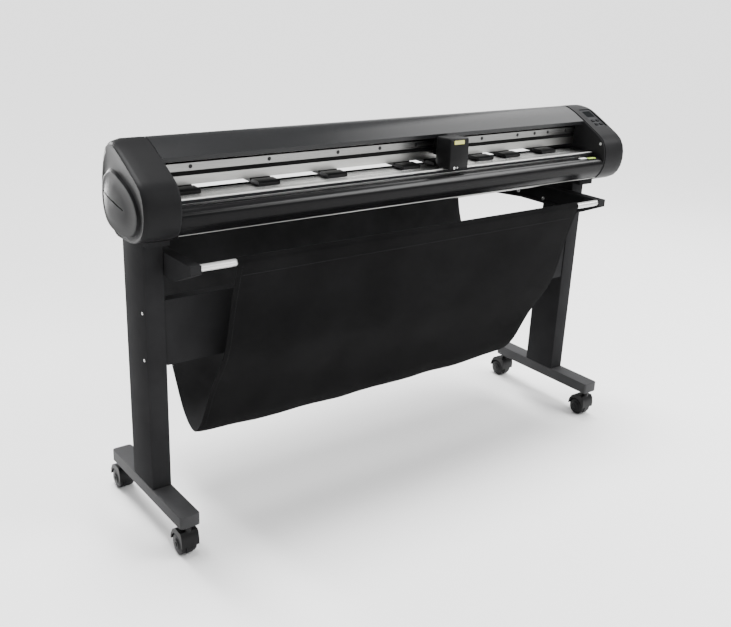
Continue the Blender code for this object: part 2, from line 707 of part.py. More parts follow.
# Bed and beam
def make_platen():
    """Extruded bed: a table with a front lip, a seat for the mat strip, a feed line and stiffening ribs."""
    top, under = PLATEN_TOP, PLATEN_TOP - 0.0045
    line = -0.0780
    ribs = ((-0.0990, -0.0960), (-0.0480, -0.0450))
    lip = NOSE_SHELF + GAP
    lip_back = PLATEN_FRONT + 0.0035
    outline = [(lip_back, under), (lip_back, lip), (PLATEN_FRONT, lip), (PLATEN_FRONT, top)]
    for y0, y1, deep in ((*STRIP_Y, STRIP_DEPTH), (line - 0.0008, line + 0.0008, 0.0008)):
        outline += [(y0, top), (y0, top - deep), (y1, top - deep), (y1, top)]
    outline += [(PLATEN_BACK, top), (PLATEN_BACK, under)]
    for y0, y1 in reversed(ribs):
        outline += [(y1, under), (y1, under - 0.018), (y0, under - 0.018), (y0, under)]
    bm = bmesh.new()
    prism_x(bm, outline, -SPAN_HALF, SPAN_HALF)
    add_object("platen", bm, SILVER)


def make_strip():
    bm = bmesh.new()
    y0, y1 = STRIP_Y[0] + GAP, STRIP_Y[1] - GAP
    low, high = PLATEN_TOP - STRIP_DEPTH + GAP, PLATEN_TOP + 0.0003
    prism_x(bm, ((y0, low), (y1, low), (y1, high), (y0, high)), -SPAN_HALF, SPAN_HALF)
    add_object("cutting_strip", bm, MAT_STRIP)


def make_beam():
    """Inverted channel that bridges the bed: rail seat, dark groove, lower lip and back wall."""
    front, back = BEAM_FRONT, BEAM_BACK
    low, high = BEAM_Z
    g0, g1 = BEAM_GROOVE_Z
    outline = (
        (front, low), (front, g0), (front + 0.005, g0), (front + 0.005, g1), (front, g1), (front, high),
        (back, high), (back, low), (back - 0.004, low), (back - 0.004, high - 0.006),
        (front + 0.011, high - 0.006), (front + 0.011, g0 - 0.007), (front + 0.003, g0 - 0.010),
        (front + 0.003, low),
    )
    bm = bmesh.new()
    prism_x(bm, outline, -SPAN_HALF, SPAN_HALF)
    add_object("guide_beam", bm, SILVER)


def make_rail():
    bm = bmesh.new()
    back = BEAM_FRONT - GAP
    front = back - RAIL_PROUD
    low, high, cut = BEAM_GROOVE_Z[1], BEAM_Z[1], 0.0010
    outline = ((back, low), (back, high), (front + cut, high), (front, high - cut),
               (front, low + cut), (front + cut, low))
    prism_x(bm, outline, -SPAN_HALF + 0.002, SPAN_HALF - 0.002)
    add_object("guide_rail", bm, SILVER)


# Feed
def make_grit_shaft():
    """Shaft with a gritted drum under every pinch roller and a drive end in the feed motor."""
    profile = [(-FRAME_INNER - 0.010, GRIT_SHAFT_RADIUS)]
    for x in PINCH_X:
        for edge, radius in ((-1, GRIT_SHAFT_RADIUS), (-1, GRIT_RADIUS), (1, GRIT_RADIUS), (1, GRIT_SHAFT_RADIUS)):
            profile.append((x + edge * GRIT_DRUM / 2, radius))
    profile.append((FRAME_INNER + 0.028, GRIT_SHAFT_RADIUS))
    bm = bmesh.new()
    lathe_x(bm, profile, 12)
    add_object("grit_shaft", bm, DARK_STEEL, (0, *GRIT_AXIS))


def make_lift_bar():
    """Square bar with round journals in the end plates and the loading lever at the back."""
    half = LIFT_BAR / 2
    square = [(half * sy * a, half * sz * b) for sy, sz, a, b in (
        (1, 1, 1, 0.9), (1, 1, 0.9, 1), (-1, 1, 0.9, 1), (-1, 1, 1, 0.9),
        (-1, -1, 1, 0.9), (-1, -1, 0.9, 1), (1, -1, 0.9, 1), (1, -1, 1, 0.9))]
    journal = [(0.0040 * math.cos(a), 0.0040 * math.sin(a)) for a in np.radians(np.arange(8) * 45 + 22.5)]
    reach, shoulder = FRAME_INNER + FRAME_THICK - 0.0005, SPAN_HALF - 0.001
    stations = ((-reach, journal), (-shoulder, journal), (-shoulder, square), (shoulder, square),
                (shoulder, journal), (reach, journal))
    bm = bmesh.new()
    stack(bm, [[(x, y, z) for y, z in ring] for x, ring in stations])
    bar = add_object("lift_bar", bm, DARK_STEEL, (0, *LIFT_AXIS))

    def lever(more):
        """Flat arm that leaves the bar under the beam's back wall and ends in a rounded grip."""
        end = (LEVER_END[0] - LIFT_AXIS[0], LEVER_END[1] - LIFT_AXIS[1])
        path = smooth_path(((-0.004, -0.0060), (0.012, -0.0090), (0.060, -0.0200), end), False, 3)
        grip = [0.0048, 0.0048, 0.0048, 0.0048, 0.0048, 0.0048, 0.0050, 0.0062, 0.0075, 0.0062]
        loops = []
        for (y, z), wide in zip(path, grip):
            ring = rounded_rect(LEVER_X, z, 2.2 * wide, 0.0062, 0.002, 1)
            loops.append([(x, y, h) for x, h in ring])
        stack(more, loops)

    boolean(bar, "UNION", lever)


def make_pinch_units():
    """Arms saddled on the lift bar, each with a window for its roller and a toe in front of the beam."""
    ay, az = LIFT_AXIS
    half = LIFT_BAR / 2 + GAP
    outline = [(y - ay, z - az) for y, z in (
        (PINCH_TOE, 0.8864), (PINCH_TOE, 0.8925), (PINCH_TOE + 0.0060, 0.8965), (-0.0345, 0.8975),
        (-0.0332, 0.8920), (-0.0260, 0.8920), (-0.0245, 0.8965), (-0.0080, 0.8985), (0.0110, 0.9060),
        (0.0120, 0.9125), (ay - half, 0.9125), (ay - half, az - half), (ay + half, az - half),
        (ay + half, 0.9125), (0.0318, 0.9125), (0.0318, 0.8955), (0.0200, 0.8905), (-0.0040, 0.8885),
        (-0.0285, 0.8885), (-0.0310, 0.8864))]
    roll_y, roll_z = PINCH_AXIS[0] - ay, PINCH_AXIS[1] - az
    wide = PINCH_ROLL / 2 + 0.0010
    reach = roll_y + PINCH_RADIUS + 0.0017
    front = roll_y - PINCH_RADIUS - 0.0017
    window = ((front, -0.03), (reach, -0.03), (reach, 0.004), (front, 0.004))
    bm = bmesh.new()
    prism_x(bm, outline, -PINCH_WIDTH / 2, PINCH_WIDTH / 2)
    arm = add_object("pinch_arm_1", bm, BLACK_PLASTIC, (PINCH_X[0], *LIFT_AXIS))
    boolean(arm, "DIFFERENCE", lambda cutter: prism_x(cutter, window, -wide, wide))
    boolean(arm, "DIFFERENCE", lambda cutter: lathe_x(
        cutter, ((-0.0200, 0.0024), (0.0200, 0.0024)), 10, (roll_y, roll_z)))
    for number, x in enumerate(PINCH_X[1:], 2):
        copy_cut(arm, f"pinch_arm_{number}", (x, *LIFT_AXIS))
    roller = bmesh.new()
    shoulder, axle, end = PINCH_ROLL / 2, 0.0020, 0.0190
    lathe_x(roller, ((-end, axle), (-shoulder, axle), (-shoulder, PINCH_RADIUS - 0.0006),
                     (-shoulder + 0.0006, PINCH_RADIUS), (shoulder - 0.0006, PINCH_RADIUS),
                     (shoulder, PINCH_RADIUS - 0.0006), (shoulder, axle), (end, axle)), 12)
    first = add_object("pinch_roller_1", roller, RUBBER, (PINCH_X[0], *PINCH_AXIS))
    for number, x in enumerate(PINCH_X[1:], 2):
        place_mesh(f"pinch_roller_{number}", first.data, (x, *PINCH_AXIS))


# Carriage and drive
def make_carriage():
    """Hood with a bore for the blade holder, and a bracket to the rail whose tongue reaches the belt."""
    front, back, (low, high) = CARRIAGE_FRONT, CARRIAGE_BACK, CARRIAGE_Z
    outline = (
        (front, low), (front, low + 0.030), (front + 0.003, high - 0.003), (front + 0.006, high),
        (back, high), (back, low + 0.010), (back - 0.012, low),
    )
    half = CARRIAGE_WIDTH / 2
    bm = bmesh.new()
    prism_x(bm, outline, -half, half)
    carriage = add_object("carriage", bm, BLACK_PLASTIC, (CARRIAGE_X, 0, 0))
    bevel(carriage, 0.0018, 2)
    top = high - 0.020

    def bracket(more):
        rail_side = BEAM_FRONT - GAP - RAIL_PROUD - 0.0006
        tongue = PULLEY_Z - PULLEY_RADIUS - BELT_THICK - 2 * GAP
        under = tongue - 0.004
        belt_side = BELT_Y[1] + 0.001
        shape = ((back - 0.002, BRACKET_LOW), (back - 0.002, tongue), (belt_side, tongue), (belt_side, under),
                 (rail_side, under), (rail_side, BRACKET_LOW))
        prism_x(more, shape, *BRACKET_X)

    def bore(cutter):
        loops = []
        for z in (low - 0.01, top):
            angles = [2 * math.pi * k / 20 for k in range(20)]
            radius = HOLDER_RADIUS + 0.0006
            loops.append([(HOLDER_OFFSET + radius * math.cos(a), HOLDER_Y + radius * math.sin(a), z) for a in angles])
        stack(cutter, loops)

    boolean(carriage, "UNION", bracket)
    boolean(carriage, "DIFFERENCE", bore)


def make_blade_holder():
    """Turned holder: body, collar, nozzle and the tip of the drag blade."""
    low = CARRIAGE_Z[0] + 0.0003
    rings = ((low, 0.0012), (low + 0.0010, 0.0034), (low + 0.0040, 0.0042), (low + 0.0046, HOLDER_RADIUS),
             (low + 0.0110, HOLDER_RADIUS), (low + 0.0120, 0.0056), (low + 0.0160, 0.0056),
             (low + 0.0170, HOLDER_RADIUS), (CARRIAGE_Z[1] - 0.0240, HOLDER_RADIUS))
    bm = bmesh.new()
    loops = []
    for z, radius in rings:
        angles = [2 * math.pi * k / 20 for k in range(20)]
        loops.append([(radius * math.cos(a), radius * math.sin(a), z - low) for a in angles])
    stack(bm, loops)
    add_object("blade_holder", bm, CHROME, (CARRIAGE_X + HOLDER_OFFSET, HOLDER_Y, low))


def turn_y(bm, rings, sides):
    """Turns a (y, radius) profile about an axis along Y."""
    angles = [2 * math.pi * k / sides for k in range(sides)]
    stack(bm, [[(r * math.cos(a), y, r * math.sin(a)) for a in angles] for y, r in rings])


def make_drive():
    y0, y1 = BELT_Y
    mid = (y0 + y1) / 2
    flange, tooth = PULLEY_RADIUS + 0.0026, PULLEY_RADIUS
    rim = ((y0 - 0.0018, flange), (y0 - 0.0006, flange), (y0 - 0.0006, tooth), (y1 + 0.0006, tooth),
           (y1 + 0.0006, flange), (y1 + 0.0018, flange))
    bore = 0.0029
    idler = [(y1 + 0.0018, bore), (y0 - 0.0018, bore), *rim, (y1 + 0.0018, bore)]
    bm = bmesh.new()
    angles = [2 * math.pi * k / 20 for k in range(20)]
    rings = [[bm.verts.new((r * math.cos(a), y - mid, r * math.sin(a))) for a in angles] for y, r in idler[:-1]]
    for low, high in zip(rings, rings[1:] + rings[:1]):
        for i in range(len(angles)):
            j = (i + 1) % len(angles)
            bm.faces.new((low[i], low[j], high[j], high[i]))
    add_object("idler_pulley", bm, SILVER, (-PULLEY_X, mid, PULLEY_Z))
    bm = bmesh.new()
    turn_y(bm, [(y - mid, r) for y, r in (*rim, (y1 + 0.0018, 0.0025), (0.024, 0.0025))], 20)
    add_object("drive_pulley", bm, SILVER, (PULLEY_X, mid, PULLEY_Z))
    make_belt()
    make_motor("carriage_motor", CARRIAGE_MOTOR, 0.038, (PULLEY_X, 0.010, PULLEY_Z), "Y", 0.0031, 0.016)
    grit_end = (FRAME_INNER + 0.010, *GRIT_AXIS)
    make_motor("feed_motor", FEED_MOTOR, 0.046, grit_end, "X", GRIT_SHAFT_RADIUS + GAP, 0.020)


def make_belt():
    """Closed toothless loop round both pulleys."""
    bm = bmesh.new()
    loops = {}
    for radius in (PULLEY_RADIUS + GAP, PULLEY_RADIUS + GAP + BELT_THICK):
        ring = []
        for side, start in ((1, -90), (-1, 90)):
            for a in np.radians(start + np.linspace(0, 180, 9)):
                ring.append((side * PULLEY_X + radius * math.cos(a), PULLEY_Z + radius * math.sin(a)))
        loops[radius] = ring
    inner, outer = loops.values()
    rings = [[bm.verts.new((x, y, z)) for x, z in ring] for ring, y in (
        (inner, BELT_Y[0]), (outer, BELT_Y[0]), (outer, BELT_Y[1]), (inner, BELT_Y[1]))]
    count = len(inner)
    for low, high in zip(rings, rings[1:] + rings[:1]):
        for i in range(count):
            j = (i + 1) % count
            bm.faces.new((low[i], low[j], high[j], high[i]))
    add_object("drive_belt", bm, RUBBER)


def make_motor(name, size, length, front, axis, bore, deep):
    """Square stepper motor with cut corners and a blind bore for the shaft that it turns."""
    hole = rounded_rect(0, 0, 2 * bore, 2 * bore, bore * 0.98, 4)
    ring = rounded_rect(0, 0, size, size, size * 0.09, 4)
    stations = ((deep, hole), (0.0, hole), (0.0, ring), (length, ring))
    bm = bmesh.new()
    if axis == "X":
        stack(bm, [[(d, a, b) for a, b in loop] for d, loop in stations])
    else:
        stack(bm, [[(a, d, b) for a, b in loop] for d, loop in stations])
    add_object(name, bm, DARK_STEEL, front)


# Control panel and inlet
def make_controls(cap):
    width, length = PANEL_SIZE
    top = -PANEL_SINK
    boolean(cap, "DIFFERENCE", lambda cutter: panel_box(cutter, (width, length, -0.020, 0.020), (0, 0), 0.004))
    bm = bmesh.new()
    panel_box(bm, (width - 2 * GAP, length - 2 * GAP, top - PANEL_THICK, top), (0, 0), 0.004)
    panel = add_object("control_panel", bm, PANEL_PLASTIC)

    def openings(cutter):
        panel_box(cutter, (*LCD_SIZE, top - 0.0016, 0.02), (0, LCD_Y))
        for x, y in KEY_GRID:
            panel_box(cutter, (KEY_SIZE[0] + 2 * GAP, KEY_SIZE[1] + 2 * GAP, -0.03, 0.03), (x, y))

    boolean(panel, "DIFFERENCE", openings)
    for number, (x, y) in enumerate(KEY_GRID, 1):
        bm = bmesh.new()
        rise = top + 0.0016
        for_cut = 0.0008
        place = panel_place()
        rings = ((rise - KEY_HEIGHT, 0.0), (rise - for_cut, 0.0), (rise, for_cut))
        loops = []
        for z, shrink in rings:
            ring = rounded_rect(0, 0, KEY_SIZE[0] - 2 * shrink, KEY_SIZE[1] - 2 * shrink, 0.0018)
            loops.append([place.to_3x3() @ Vector((a, b, z)) for a, b in ring])
        stack(bm, loops)
        add_object(f"panel_key_{number}", bm, KEY_PLASTIC, place @ Vector((x, y, 0.0)))


def make_inlet(cap):
    """Mains inlet in the right cap's back wall: flange, body and an open socket."""
    width, height = INLET_SIZE
    wall = on_head(angle_of((1.0, INLET_Z)), 0.0)[0]
    window = rounded_rect(INLET_X, INLET_Z, width + 2 * GAP, height + 2 * GAP, 0.002)
    boolean(cap, "DIFFERENCE", lambda cutter: stack(
        cutter, [[(x, y, z) for x, z in window] for y in (wall - 0.020, wall + 0.020)]))
    body = rounded_rect(INLET_X, INLET_Z, width, height, 0.002)
    flange = rounded_rect(INLET_X, INLET_Z, width + 0.014, height + 0.006, 0.003)
    socket = rounded_rect(INLET_X, INLET_Z, width - 0.004, height - 0.004, 0.003)
    face = wall + 0.0030
    stations = ((face - 0.016, socket), (face, socket), (face, flange), (face - 0.0022, flange),
                (face - 0.0022, body), (face - 0.024, body))
    bm = bmesh.new()
    stack(bm, [[(x, y, z) for x, z in ring] for y, ring in stations])
    add_object("power_inlet", bm, BLACK_PLASTIC)


for hand, sign in (("left", -1), ("right", 1)):
    make_foot(f"{hand}_foot", sign)
    make_post(f"{hand}_post", sign)
    make_arm(f"{hand}_arm", sign)
    make_frame(f"{hand}_side_frame", sign)
make_stretcher()
make_tube("front_tube", FRONT_TUBE)
make_tube("rear_tube", REAR_TUBE, ARM_JOGGLE)
make_cloth()
make_casters()
make_cap("left_cap", -1)
right_cap = make_cap("right_cap", 1)
make_cover()
make_nose()
make_pan()
make_platen()
make_strip()
make_beam()
make_rail()
make_grit_shaft()
make_lift_bar()
make_pinch_units()
make_carriage()
make_blade_holder()
make_drive()
make_controls(right_cap)
make_inlet(right_cap)
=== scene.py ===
"""Looks of the floor-standing roll cutter: camera, light, procedural materials, the hung cloth,
fasteners and small fittings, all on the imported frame."""

import json
import math

import bmesh
import bpy
import numpy as np
from mathutils import Matrix, Vector, noise


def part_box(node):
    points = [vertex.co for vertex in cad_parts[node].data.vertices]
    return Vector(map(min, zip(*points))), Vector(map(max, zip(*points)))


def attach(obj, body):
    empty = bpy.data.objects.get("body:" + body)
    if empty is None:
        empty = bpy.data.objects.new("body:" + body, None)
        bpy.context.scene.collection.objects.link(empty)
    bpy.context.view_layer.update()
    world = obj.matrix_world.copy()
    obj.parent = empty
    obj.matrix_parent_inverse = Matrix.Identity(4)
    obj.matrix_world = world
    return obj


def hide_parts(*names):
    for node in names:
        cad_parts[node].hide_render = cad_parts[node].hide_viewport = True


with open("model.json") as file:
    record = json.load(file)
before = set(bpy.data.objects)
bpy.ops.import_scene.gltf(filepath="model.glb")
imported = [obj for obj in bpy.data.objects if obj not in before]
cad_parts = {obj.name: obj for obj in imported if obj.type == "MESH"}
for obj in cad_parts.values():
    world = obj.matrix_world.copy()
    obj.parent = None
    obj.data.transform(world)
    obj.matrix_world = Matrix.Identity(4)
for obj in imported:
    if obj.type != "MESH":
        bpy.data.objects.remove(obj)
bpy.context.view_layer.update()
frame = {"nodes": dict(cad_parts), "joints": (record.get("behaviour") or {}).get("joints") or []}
NODES = frame["nodes"]
BASE = "base"

# The frame's own places, read from the nodes, and the y of the middle of the feet
TUBES = {name: (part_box(name)[0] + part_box(name)[1]) / 2 for name in ("front_tube", "rear_tube")}
TUBE_RADIUS = (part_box("front_tube")[1].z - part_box("front_tube")[0].z) / 2
MACHINE_Y = -0.075

# Camera of the photograph: place, turn from +Y towards +X, tilt down, roll, lens and sensor in millimetres
CAMERA_AT = (-1.61804, -2.09917, 1.40018)
CAMERA_YAW, CAMERA_PITCH, CAMERA_ROLL = (math.radians(a) for a in (37.5016, 20.3204, 2.4749))
CAMERA_LENS = 46.066
CAMERA_SENSOR = 36.0
CAMERA_REACH = 2000.0

# Studio: the floor's half width and shade, the sky's strength as a light and as it shows behind the floor,
# and the sun's strength, width in degrees and direction
FLOOR_HALF = 800.0
FLOOR_SHADE = (0.90, 0.90, 0.90, 1)
FLOOR_ROUGH = 0.9
SKY_LIGHT = 0.32
SKY_SEEN = 2.0
SUN_STRENGTH = 6.8
SUN_WIDTH = 30.0
SUN_FROM = (0.03, 0.20, 1.0)

# Area lights: name, size, watts, place, the point it looks at, and spread in degrees
LIGHTS = (
    ("right_light", (1.7, 1.6), 33, (2.65, 0.74, 3.0), (0.6, -0.15, 0.9), 180.0),
    ("front_light", (2.4, 1.5), 135, (2.3, -1.7, 3.0), (0.2, -0.2, 0.87), 180.0),
    ("low_light", (2.0, 1.4), 50, (1.9, -2.8, 2.0), (0.0, -0.2, 0.87), 180.0),
    ("back_light", (2.8, 1.5), 16, (2.6, 2.1, 1.65), (0.3, -0.2, 0.85), 180.0),
    ("left_light", (0.7, 1.2), 18, (-0.95, 2.8, 2.5), (-0.78, 0.05, 0.95), 70.0),
    ("rim_light", (1.1, 1.2), 13, (-0.95, 3.0, 0.75), (-0.82, 0.0, 0.85), 50.0),
)

# Surfaces: scale of the mottling on coats and on drawn metal, the weave's threads and their relief
COAT_MOTTLE = (9, 9, 9)
METAL_MOTTLE = (3, 20, 20)
METAL_STREAK = 4
METAL_EDGE = 0.0005
CLOTH_MOTTLE = (6, 6, 6)
THREADS = 190.0
THREAD_SHARE = 0.35
THREAD_HEIGHT = 0.0004
NOISE_ROUGH = 0.55
WELD = 0.00002
SHARP_EDGE = math.radians(34.0)

# Hung cloth: half width, thickness, and the curve (y from the middle of the feet, z) between the tubes
CLOTH_HALF = 0.590
CLOTH_THICK = 0.0016
CLOTH_CURVE = (
    (-0.1560, 0.633), (-0.1150, 0.481), (-0.0370, 0.348), (0.0210, 0.229), (0.0660, 0.1905),
    (0.1270, 0.229), (0.1950, 0.3455), (0.2660, 0.467), (0.3250, 0.577), (0.3490, 0.660),
)
CLOTH_COLUMNS = 90
CLOTH_STEPS = 9

# Hems: angles over each tube in degrees, points, gap to the tube, and the widths at the sides and the top
FRONT_HEM = (-106, 195)
REAR_HEM = (-15, 286)
HEM_POINTS = 28
HEM_GAP = 0.0008
SIDE_HEM = 0.016
SIDE_HEM_MORE = 0.0005
TOP_HEM = 0.034

# How the cloth hangs: the length held straight at each tube, sag, belly, flutes, ripples, drag lines and the
# curl of the side edges
CLOTH_HELD = 0.06
CLOTH_SAG = 0.018
CLOTH_BELLY = 0.004
FLUTES = 5
FLUTE_DEPTH = 0.0012
RIPPLE_DEPTH = 0.0022
DRAG_DEPTH = 0.0009
CURL_START = 0.93
CURL_SPAN = 0.07
CURL_DEPTH = 0.0035
CURL_WAVE = 0.0025

# Stitches: length, gap, side row's share of the hem, free ends, thread, and the place and swelling of each
# ring along one stitch
STITCH = 0.0050
STITCH_GAP = 0.0036
SIDE_ROW = 0.8
ROW_END = 0.004
THREAD_RADIUS = 0.0006
THREAD_LIFT = 0.0003
STITCH_RINGS = ((-0.5, 0.25), (-0.35, 0.9), (0.35, 0.9), (0.5, 0.25))

# Fasteners: places (y from the middle of the feet, z) and the radius of each head
RAIL_SCREWS_X = (-0.629, -0.413, -0.204, -0.066, 0.060, 0.180, 0.311, 0.458, 0.532, 0.590, 0.671)
RAIL_SCREW_Z = 0.943
RAIL_SCREW = 0.0050
RAIL_SCREW_HIGH = 0.0004
POST_BOLTS = ((-0.0360, 0.599), (-0.0360, 0.4765))
POST_BOLT = 0.0027
POST_OUTER = 0.740 + 0.0265
ARM_BOLTS = ((0.1675, 0.7056), (0.0630, 0.699))
ARM_BOLT = 0.0040
ARM_WALL = 0.003
ARM_BEND_Y = 0.140
ARM_BEND = 0.075 / 0.195
FRAME_SCREWS = ((-0.1420, 0.915),)
FRAME_SCREW = 0.0030

# One screw: usual height per radius, sides, depth under the surface, the outline from the washer up (share of
# the radius, share of the height), and the key recess
HEAD_HIGH = 0.62
SCREW_SIDES = 24
SCREW_SUNK = 0.0002
WASHER = 1.45
SCREW_PROFILE = ((WASHER, 0.14), (1.02, 0.16), (1.0, 0.55), (0.86, 0.88), (0.60, 1.0), (0.46, 1.0))
KEY_WIDE = 0.40
KEY_DEEP = 0.45

# Nose (y from the middle of the feet, z): shelf, the rounding's centre and radius, the front down to its
# foot, and the least upward lean of a glossier face
NOSE_BACK = -0.1120
NOSE_ROUND = (-0.1417, 0.8548)
NOSE_RADIUS = 0.0200
NOSE_FRONT = ((-0.1599, 0.8476), (-0.1531, 0.8308), (-0.1425, 0.8161), (-0.1380, 0.8118))
NOSE_FOOT = (-0.1280, 0.8148)
NOSE_THICK = 0.0028
NOSE_ROUND_STEPS = 15
NOSE_FRONT_STEPS = 4
EDGE_LIFT = 0.30

# Head trim: dark strips that paint the shade in the beam's groove and on the bed's front edge, the bead under
# the nose, and two plain marks on the nose's shelf (name, x, y from the middle of the feet, width)
TRIM_INSET = 0.001
GROOVE_Z = (0.9214, 0.9316)
GROOVE_Y = (-0.0286, -0.0254)
GROOVE_CUT = 0.0008
GROOVE_CREASE = 0.0005
BED_EDGE_Z = (0.8769, 0.8846)
BED_EDGE_Y = (-0.1188, -0.1179)
BED_EDGE_CUT = 0.0003
TRIM_RADIUS = 0.0013
MARKS = (("pale_mark", 0.645, -0.1385, 0.028), ("lime_mark", 0.675, -0.1465, 0.031))
MARK_DEPTH = 0.013
MARK_THICK = 0.0006
BAR_TIP = 0.0008
BAR_TAPER = 0.7
CORNER = 0.18

# Carriage: the tab's size and place on the sloping front, and the clamp screws (x from the middle, radius)
TAB_SIZE = (0.037, 0.0105, 0.0006)
TAB_DROP = 0.0105
TAB_SHIFT = 0.001
TAB_BACK = 0.0026
TAB_AXIS = (0, -1, 0.0594)
CLAMP_SCREWS = ((-0.0160, 0.0026), (-0.0050, 0.0016))
CLAMP_UP = 0.0040

# Control panel: the window's size, place along the slope and lift, and the arrow on each key
WINDOW_SIZE = (0.0352, 0.0292, 0.0010)
WINDOW_UPHILL = -0.0215
WINDOW_LIFT = 0.0007
ARROW = ((-0.0009, -0.0024), (0.0009, -0.0024), (0.0009, 0.0001), (0.0025, 0.0001), (0.0, 0.0027),
         (-0.0025, 0.0001), (-0.0009, 0.0001))
ARROW_TURNS = (0, -90, 90, 180)
ARROW_THICK = 0.0004
KEY_HALF_HEIGHT = 0.00275

# Casters' hub caps (radius, height) and the inlet's pins: places, and width and height along each pin
CASTERS = ("front_left", "front_right", "rear_left", "rear_right")
HUB_PROFILE = ((0.0150, -0.0002), (0.0150, 0.0009), (0.0140, 0.0015), (0.0076, 0.0012), (0.0066, 0.0024),
               (0.0054, 0.0030), (0.0016, 0.0030))
INLET_DEPTH = 0.016
INLET_PINS = ((-0.0070, -0.0020), (0.0070, -0.0020), (0.0, 0.0030))
PIN_RINGS = ((-0.0002, 0.0020, 0.0040), (0.0090, 0.0020, 0.0040), (0.0100, 0.0012, 0.0030))
PIN_CORNER = 0.0003


# Camera, floor and light
def add_camera():
    data = bpy.data.cameras.new("photo_camera")
    data.lens = CAMERA_LENS
    data.sensor_width = CAMERA_SENSOR
    data.clip_end = CAMERA_REACH
    camera = bpy.data.objects.new("photo_camera", data)
    turn = Matrix.Rotation(-CAMERA_YAW, 4, "Z") @ Matrix.Rotation(math.pi / 2 - CAMERA_PITCH, 4, "X")
    camera.matrix_world = Matrix.Translation(CAMERA_AT) @ turn @ Matrix.Rotation(CAMERA_ROLL, 4, "Z")
    bpy.context.scene.collection.objects.link(camera)
    bpy.context.scene.camera = camera


def add_floor():
    bm = bmesh.new()
    bmesh.ops.create_grid(bm, x_segments=8, y_segments=8, size=FLOOR_HALF)
    mesh = bpy.data.meshes.new("studio_floor")
    bm.to_mesh(mesh)
    bm.free()
    floor = bpy.data.objects.new("studio_floor", mesh)
    bpy.context.scene.collection.objects.link(floor)
    mat, shader, _ = new_material("floor_pale")
    shader.inputs["Base Color"].default_value = FLOOR_SHADE
    shader.inputs["Roughness"].default_value = FLOOR_ROUGH
    shader.inputs["Specular IOR Level"].default_value = 0.0
    mesh.materials.append(mat)


def add_light(name, size, power, place, target, spread):
    data = bpy.data.lights.new(name, "AREA")
    data.shape = "RECTANGLE"
    data.size, data.size_y = size
    data.energy = power
    data.spread = math.radians(spread)
    lamp = bpy.data.objects.new(name, data)
    aim = (Vector(target) - Vector(place)).to_track_quat("-Z", "Y")
    lamp.matrix_world = Matrix.Translation(place) @ aim.to_matrix().to_4x4()
    lamp.visible_camera = False
    bpy.context.scene.collection.objects.link(lamp)


def add_sun():
    data = bpy.data.lights.new("top_light", "SUN")
    data.energy = SUN_STRENGTH
    data.angle = math.radians(SUN_WIDTH)
    lamp = bpy.data.objects.new("top_light", data)
    lamp.matrix_world = Vector(SUN_FROM).to_track_quat("Z", "Y").to_matrix().to_4x4()
    bpy.context.scene.collection.objects.link(lamp)


def add_studio():
    """White sky that shows brighter than it lights, a wide sun overhead and the area lights."""
    world = bpy.data.worlds.new("studio")
    bpy.context.scene.world = world
    world.use_nodes = True
    tree = world.node_tree
    background = tree.nodes["Background"]
    background.inputs["Color"].default_value = (1.0, 1.0, 1.0, 1)
    path = tree.nodes.new("ShaderNodeLightPath")
    level = tree.nodes.new("ShaderNodeMapRange")
    level.inputs["To Min"].default_value = SKY_LIGHT
    level.inputs["To Max"].default_value = SKY_SEEN
    tree.links.new(path.outputs["Is Camera Ray"], level.inputs["Value"])
    tree.links.new(level.outputs["Result"], background.inputs["Strength"])
    add_sun()
    for row in LIGHTS:
        add_light(*row)


# Materials
def new_material(name):
    mat = bpy.data.materials.new(name)
    mat.use_nodes = True
    tree = mat.node_tree
    return mat, tree.nodes["Principled BSDF"], tree


def coordinates(tree, scale, source="Object"):
    """Texture coordinates in metres times a scale along each axis."""
    coord = tree.nodes.new("ShaderNodeTexCoord")
    mapping = tree.nodes.new("ShaderNodeMapping")
    mapping.inputs["Scale"].default_value = scale
    tree.links.new(coord.outputs[source], mapping.inputs["Vector"])
    return mapping.outputs["Vector"]


def noise_texture(tree, scale, detail):
    node = tree.nodes.new("ShaderNodeTexNoise")
    node.inputs["Scale"].default_value = 1.0
    node.inputs["Detail"].default_value = detail
    node.inputs["Roughness"].default_value = NOISE_ROUGH
    tree.links.new(coordinates(tree, scale), node.inputs["Vector"])
    return node.outputs["Fac"]


def ramp(tree, fac, low, high, start=0.3, end=0.7):
    """Colour that goes from low to high as the factor goes from start to end."""
    node = tree.nodes.new("ShaderNodeValToRGB")
    node.color_ramp.elements[0].position = start
    node.color_ramp.elements[0].color = (*low, 1)
    node.color_ramp.elements[1].position = end
    node.color_ramp.elements[1].color = (*high, 1)
    tree.links.new(fac, node.inputs["Fac"])
    return node.outputs["Color"]


def map_range(tree, fac, low, high):
    """Number that goes from low to high over the middle of a noise."""
    node = tree.nodes.new("ShaderNodeMapRange")
    node.inputs["From Min"].default_value = 0.3
    node.inputs["From Max"].default_value = 0.7
    node.inputs["To Min"].default_value = low
    node.inputs["To Max"].default_value = high
    tree.links.new(fac, node.inputs["Value"])
    return node.outputs["Result"]


def bump(tree, height, distance, strength, edge=0.0):
    """Bump over a normal that is rounded at the edges."""
    node = tree.nodes.new("ShaderNodeBump")
    node.inputs["Distance"].default_value = distance
    node.inputs["Strength"].default_value = strength
    tree.links.new(height, node.inputs["Height"])
    if edge:
        rounded = tree.nodes.new("ShaderNodeBevel")
        rounded.samples = 4
        rounded.inputs["Radius"].default_value = edge
        tree.links.new(rounded.outputs["Normal"], node.inputs["Normal"])
    return node.outputs["Normal"]


def mottled_colour(tree, colour, spread, scale, detail):
    """Colour that wanders by a share to both sides."""
    low, high = (tuple(min(1.0, c * factor) for c in colour) for factor in (1 - spread, 1 + spread))
    return ramp(tree, noise_texture(tree, scale, detail), low, high)


